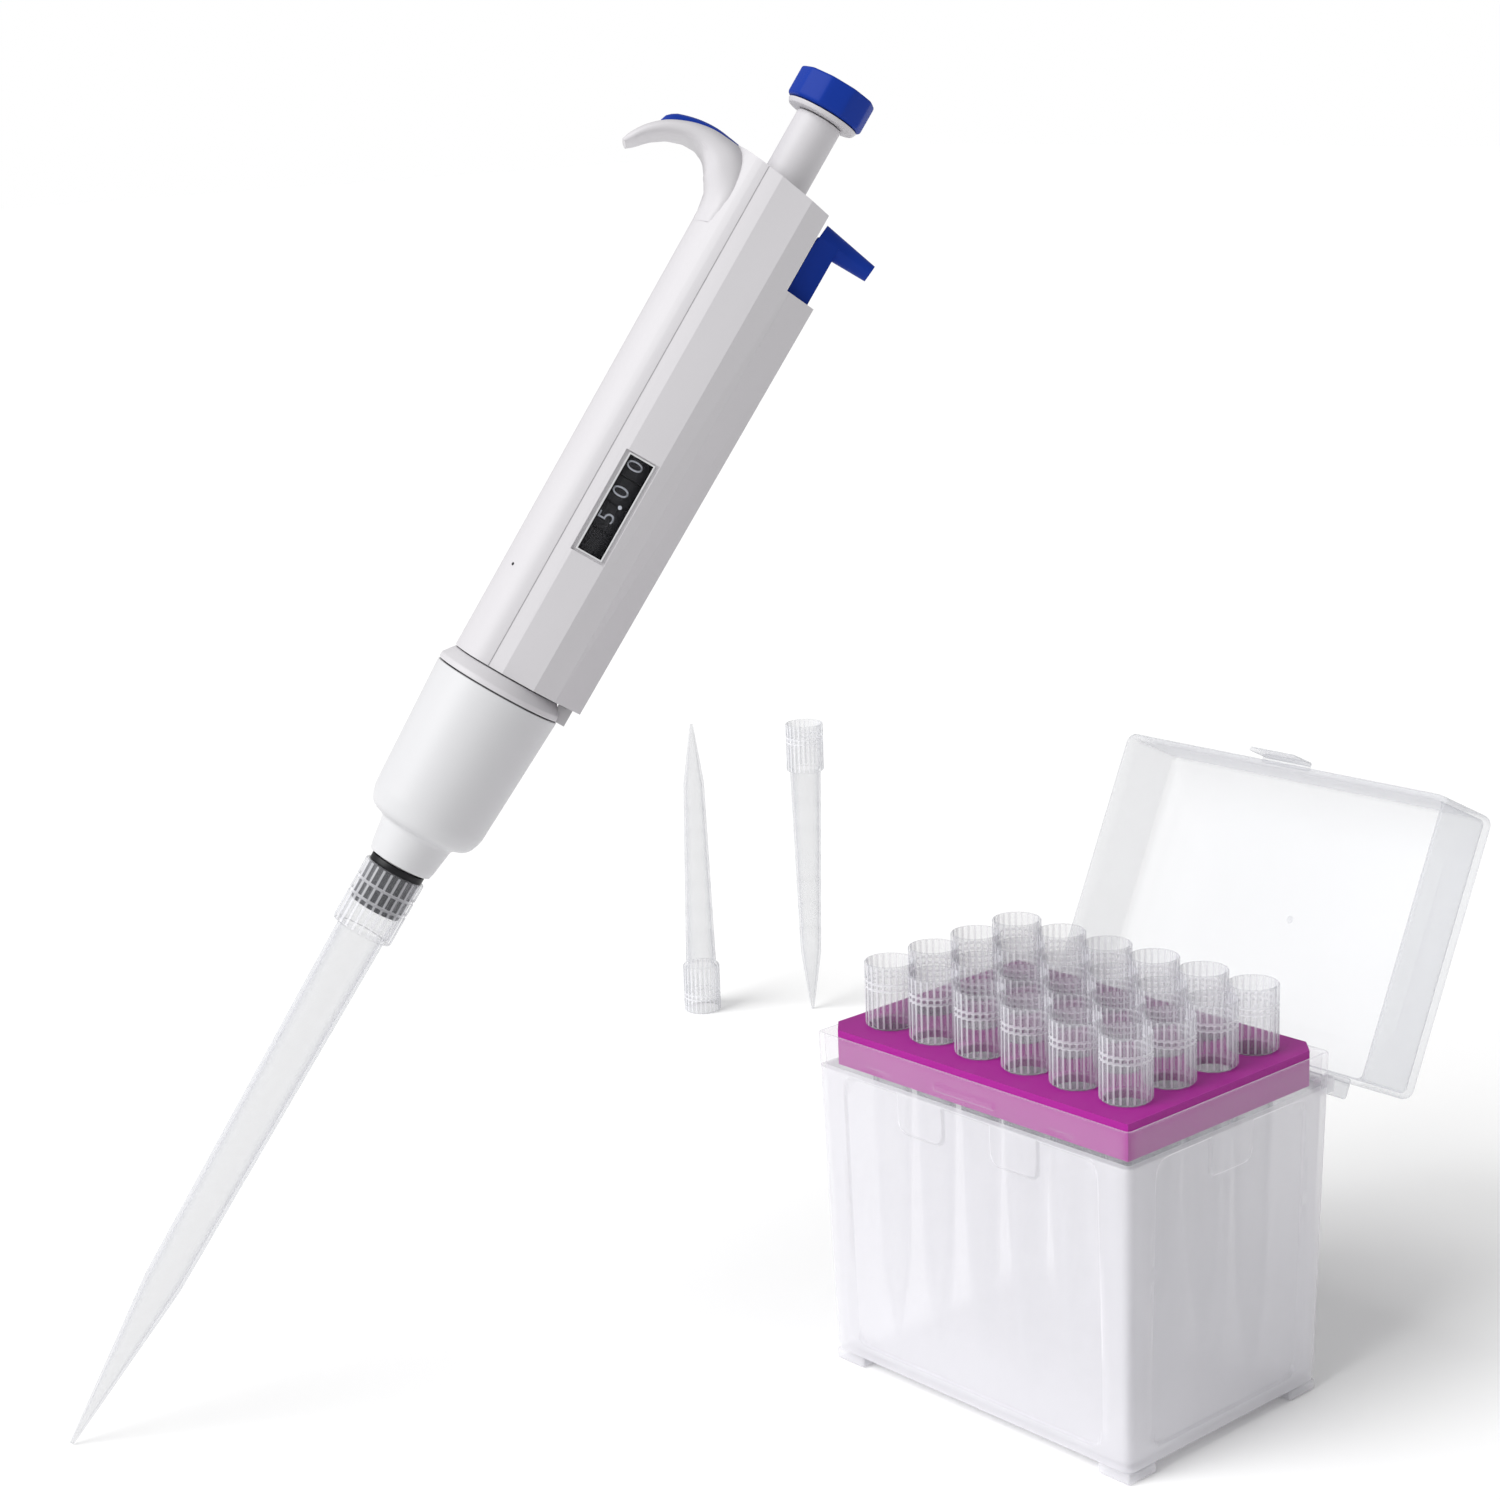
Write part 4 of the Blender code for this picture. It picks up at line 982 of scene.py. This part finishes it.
rear = merged_copy("rear_shell", "rear_shell_copy", WHITE_PLASTIC, 40.0)
places = np.array([upright @ vertex.co for vertex in rear.data.vertices])
for vertex, place in zip(rear.data.vertices, carried(eased_root(places), PIPETTE)):
    vertex.co = place
rear = baked(soften(rear, 0.35, 2, 40.0, lambda place: place.x > SEAM - 0.35))
HOOK_PROUD = 0.06
hook_path = eased_path(HOOK_STATIONS)
hook_up = along_path(hook_path)
turn = np.linspace(0, 2 * np.pi, 48, endpoint=False)
across = np.sign(np.cos(turn)) * np.abs(np.cos(turn)) ** 0.6
above = np.sign(np.sin(turn)) * np.abs(np.sin(turn)) ** 0.8
hook_rings = np.zeros((len(hook_path), len(turn), 3))
hook_rings[..., 0] = hook_path[:, None, 0]
hook_rings[..., 2] = hook_path[:, None, 1]
hook_rings[..., 1] = (hook_path[:, None, 2] + HOOK_PROUD) * across
hook_rings += hook_up[:, None, :] * ((hook_path[:, None, 3] + HOOK_PROUD) * above)[..., None]
hook_rings = eased_root(hook_rings.reshape(-1, 3)).reshape(hook_rings.shape)
hook = loft("finger_hook", hook_rings[6:], PIPETTE, WHITE_PLASTIC, smooth_angle=50.0)
rear = joined("rear_shell_fine", [rear, hook])
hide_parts("rear_shell")
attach(rear, "handle")

# ---------------------------------------------------------------- blue controls
# The knob, the ejector's button and the pad on the finger hook, all moulded in one deep blue.

BLUE_PLASTIC = moulded_plastic("blue_plastic", linear(16, 52, 150), 0.5, 0.02, 0.1, 0.12)
KNOB_LOW, KNOB_HIGH, KNOB_RADIUS, KNOB_FACETS = 412.0, 420.4, 11.3, 10


def knob_radius(angle, radius, height):
    """A ten-sided outline: the flat's distance over the cosine of the angle from its middle,
    with the corners eased by a smooth minimum against a circle."""
    step = 2 * np.pi / KNOB_FACETS
    start = -np.pi / 2 + math.radians(4.6)
    offset = (angle - start + step / 2) % step - step / 2
    flat = math.cos(step / 2) / np.cos(offset)
    eased = -np.log(np.exp(-60 * flat) + np.exp(-60 * 0.988)) / 60
    return radius * eased


knob_profile = [
    (0.02, KNOB_HIGH - 0.5),
    (8.6, KNOB_HIGH - 0.3),
    (9.6, KNOB_HIGH),
    (KNOB_RADIUS, KNOB_HIGH),
    (KNOB_RADIUS, KNOB_LOW),
    (0.02, KNOB_LOW),
]
knob_profile = rounded(knob_profile, [0, 1.0, 0.6, 1.6, 1.2, 0], 6)
knob = lathe("push_button_fine", knob_profile, PIPETTE, BLUE_PLASTIC, 240, knob_radius, closed=False)
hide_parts("push_button")
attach(knob, "button")

ejector_button = merged_copy("ejector_button", "ejector_button_fine", BLUE_PLASTIC)
ejector_button = soften(ejector_button, 0.6, 3, 30.0)
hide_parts("ejector_button")
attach(ejector_button, "ejector")

PAD_SPAN = slice(16, 34)
pad_path, pad_up = hook_path[PAD_SPAN], hook_up[PAD_SPAN]
share = np.linspace(0, 1, len(pad_path))[:, None]
crown = 0.5 + 2.0 * share**1.2 * np.minimum(1.0, (1.0 - share) * 6.0) ** 0.5
half_wide = pad_path[:, 2:3] * 0.64 * (1 - 0.12 * (2 * share - 1) ** 4)
turn = np.linspace(0, np.pi, 25)
dome = np.sin(turn) ** 0.45
pad_rings = np.zeros((len(pad_path), len(turn), 3))
pad_rings[..., 0] = pad_path[:, None, 0]
pad_rings[..., 2] = pad_path[:, None, 1]
pad_rings[..., 1] = half_wide * np.cos(turn)
fall = 1.0 - np.sqrt(np.clip(1.0 - (pad_rings[..., 1] / pad_path[:, 2:3]) ** 2, 0, 1))
rise = pad_path[:, 3:4] * (1.0 - 0.8 * fall) + 0.02 + crown * dome
pad_rings += pad_up[:, None, :] * rise[..., None]
pad = loft("hook_pad_fine", pad_rings, PIPETTE, BLUE_PLASTIC, smooth_angle=60.0)
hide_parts("hook_pad")
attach(pad, "handle")

# ---------------------------------------------------------------- plunger stem
# The white stem that the knob sits on, and the pale disc under the knob.

stem_profile = rounded([(0.02, 410.1), (6.5, 410.1), (6.5, 345.0), (0.02, 345.0)], [0, 0.4, 0.4, 0])
stem = lathe("plunger_stem_fine", stem_profile, PIPETTE, WHITE_PLASTIC, 96, closed=False)
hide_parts("plunger_stem")
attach(stem, "button")
skirt_profile = rounded([(0.02, 411.7), (10.3, 411.7), (9.6, 410.4), (0.02, 410.4)], [0, 0.3, 0.4, 0])
skirt = lathe("button_skirt_fine", skirt_profile, PIPETTE, WHITE_PLASTIC, 120, closed=False)
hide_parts("button_skirt")
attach(skirt, "button")

# ---------------------------------------------------------------- volume display
# Three printed drums behind a clear pane in a moulded sill. Each carries ten digits round it,
# tops towards the hook, and the last one carries noughts and fives. The decimal point is fixed
# to the handle, and a small dark disc on the back shell is painted shade for the inside of its
# vent hole.

DRUM_PLASTIC = moulded_plastic("drum_plastic", linear(9, 9, 16), 0.45, 0.01, 0.2)
INK = moulded_plastic("drum_ink", linear(186, 190, 200), 0.5, 0.01, 0.05)
LENS_PLASTIC = clear_plastic("lens_plastic", linear(200, 202, 210), 0.01, 0.1, 0.05)
DRUM_RADIUS, DIGIT_HEIGHT, DIGIT_MIDDLE = 13.0, 4.9, 2.5
FIRST_WHEEL, WHEEL_PITCH = 283.2, 7.6
DIGIT_STEP = math.radians(36.0)
finish_nodes(DRUM_PLASTIC, "counter_drum", "digit_wheel_units")
finish_nodes(DRUM_PLASTIC, "digit_wheel_tenths", "digit_wheel_hundredths")
finish_nodes(LENS_PLASTIC, "window_lens")


def flat_text(text, size):
    """The outline of a text as a filled flat mesh: its vertex array, centred, and its faces."""
    curve = bpy.data.curves.new("digit", "FONT")
    curve.body = text
    curve.size = size
    curve.align_x = "CENTER"
    curve.offset = -0.07
    obj = linked("digit", curve)
    bpy.context.view_layer.update()
    evaluated = obj.evaluated_get(bpy.context.evaluated_depsgraph_get())
    mesh = evaluated.to_mesh()
    points = np.array([v.co for v in mesh.vertices], float)
    faces = [list(p.vertices) for p in mesh.polygons]
    evaluated.to_mesh_clear()
    bpy.data.objects.remove(obj, do_unlink=True)
    middle = (points.max(0) + points.min(0)) / 2
    return points - middle, faces


def drum_digits(name, digits, middle_height, body):
    """Digits wrapped on the drum: a glyph's height runs round it, its width runs along it.

    The angle of a point from the front is its place over the drum's radius, and every next
    digit is one step further round.
    """
    all_points, all_faces = [], []
    radius = DRUM_RADIUS + 0.04
    for turn, digit in enumerate(digits):
        points, faces = flat_text(digit, DIGIT_HEIGHT * 1.38)
        angle = (DIGIT_MIDDLE - points[:, 1]) / DRUM_RADIUS - turn * DIGIT_STEP
        x, y = radius * np.sin(angle), -radius * np.cos(angle)
        start = sum(len(block) for block in all_points)
        all_points.append(np.stack([x, y, middle_height + points[:, 0] * 0.95], axis=-1))
        all_faces += [[vertex + start for vertex in face] for face in faces]
    points = carried(np.concatenate(all_points), PIPETTE)
    digits_object = mesh_object(name, points, all_faces, INK)
    thicken = digits_object.modifiers.new("Solidify", "SOLIDIFY")
    thicken.thickness = 0.05 * MM
    thicken.offset = 1.0
    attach(digits_object, body)


drum_digits("units_digits", "5432109876", FIRST_WHEEL + WHEEL_PITCH, "wheel_units")
drum_digits("tenths_digits", "0987654321", FIRST_WHEEL + 2 * WHEEL_PITCH, "wheel_tenths")
drum_digits("hundredths_digits", "0505050505", FIRST_WHEEL + 3 * WHEEL_PITCH, "wheel_hundredths")

point_profile = [(0.02, 0.0), (0.02, 0.1), (0.5, 0.1), (0.56, 0.0)]
point_place = PIPETTE @ Matrix.Translation((4.4, -13.35, 294.6))
point_place = point_place @ Matrix.Rotation(math.pi / 2, 4, "X")
point = lathe("decimal_point", point_profile, point_place, INK, 32)
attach(point, "handle")

FRAME_LOW, FRAME_HIGH = (-0.1, 280.1), (6.8, 308.2)
frame_half = (np.array(FRAME_HIGH) - FRAME_LOW) / 2
frame_middle = (np.array(FRAME_HIGH) + FRAME_LOW) / 2
frame_lines = np.linspace(-1, 1, 3)
FRAME_SECTION = (  # how far outside the opening, how far in front of the axis
    (0.0, 14.7), (0.0, 15.05), (0.08, 15.15), (0.37, 15.15), (0.45, 15.05), (0.45, 14.7),
)
frame_rings = []
for outside, reach in FRAME_SECTION:
    ring = rounded_ring(*(frame_half + outside), 0.15, frame_lines, frame_lines, 2) + frame_middle
    frame_rings.append(np.stack([ring[:, 0], np.full(len(ring), -reach), ring[:, 1]], axis=-1))
sill = loft("window_sill", np.stack(frame_rings), PIPETTE, SLEEVE_PLASTIC, closed=True)
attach(sill, "handle")

VENT_BACK, VENT_HEIGHT = 7.5, 267.8
VENT_HALF_X, VENT_HALF_Y = 10.5, 14.3
vent_turn = math.acos(VENT_BACK / VENT_HALF_X)
vent_out = Vector((-math.cos(vent_turn) / VENT_HALF_X, -math.sin(vent_turn) / VENT_HALF_Y, 0.0))
vent_out.normalize()
vent_spot = Vector((SEAM - VENT_BACK, -14.33 * math.sin(vent_turn), VENT_HEIGHT)) + vent_out * 0.03
vent_turned = vent_out.to_track_quat("Z", "Y").to_matrix().to_4x4()
vent_place = PIPETTE @ Matrix.Translation(vent_spot) @ vent_turned
# A near-black disc on the shell's surface: painted shade for the dark inside of the vent hole.
vent_profile = [(0.02, -0.3), (0.02, 0.0), (0.42, 0.0), (0.42, -0.3)]
vent = lathe("vent_shade_disc", vent_profile, vent_place, DRUM_PLASTIC, 24)
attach(vent, "handle")

# ---------------------------------------------------------------- inner works
# Steel rod, spindle and springs, grey engineering plastic for the cylinder, piston, nut, seat
# and bushing, and the piston's greased seal. They are out of sight in the handle.

STEEL, steel_tree, _, steel_shader = new_material("drawn_steel")
steel_shader.inputs["Metallic"].default_value = 1.0
steel_shader.inputs["Base Color"].default_value = (0.62, 0.62, 0.64, 1.0)
steel_place = add_nodes(steel_tree, "ShaderNodeTexCoord")
steel_noise = add_nodes(steel_tree, "ShaderNodeTexNoise", Scale=900.0, Detail=3.0)
steel_range = add_nodes(steel_tree, "ShaderNodeMapRange")
steel_range.inputs["To Min"].default_value = 0.2
steel_range.inputs["To Max"].default_value = 0.36
steel_tree.links.new(steel_place.outputs["Object"], steel_noise.inputs["Vector"])
steel_tree.links.new(steel_noise.outputs["Fac"], steel_range.inputs["Value"])
steel_tree.links.new(steel_range.outputs["Result"], steel_shader.inputs["Roughness"])
GREY_PLASTIC = moulded_plastic("grey_plastic", linear(176, 178, 182), 0.42, 0.02, 0.05)
SEAL_RUBBER = moulded_plastic("seal_rubber", linear(60, 60, 62), 0.6, 0.04, 0.2)
finish_nodes(STEEL, "piston_rod", "piston_spring", "blowout_spring")
finish_nodes(STEEL, "ejector_spring", "volume_spindle")
finish_nodes(GREY_PLASTIC, "cylinder", "piston", "spring_seat", "volume_nut", "stem_bushing")
finish_nodes(SEAL_RUBBER, "piston_seal")
finish_nodes(WHITE_PLASTIC, "ejector_arm")
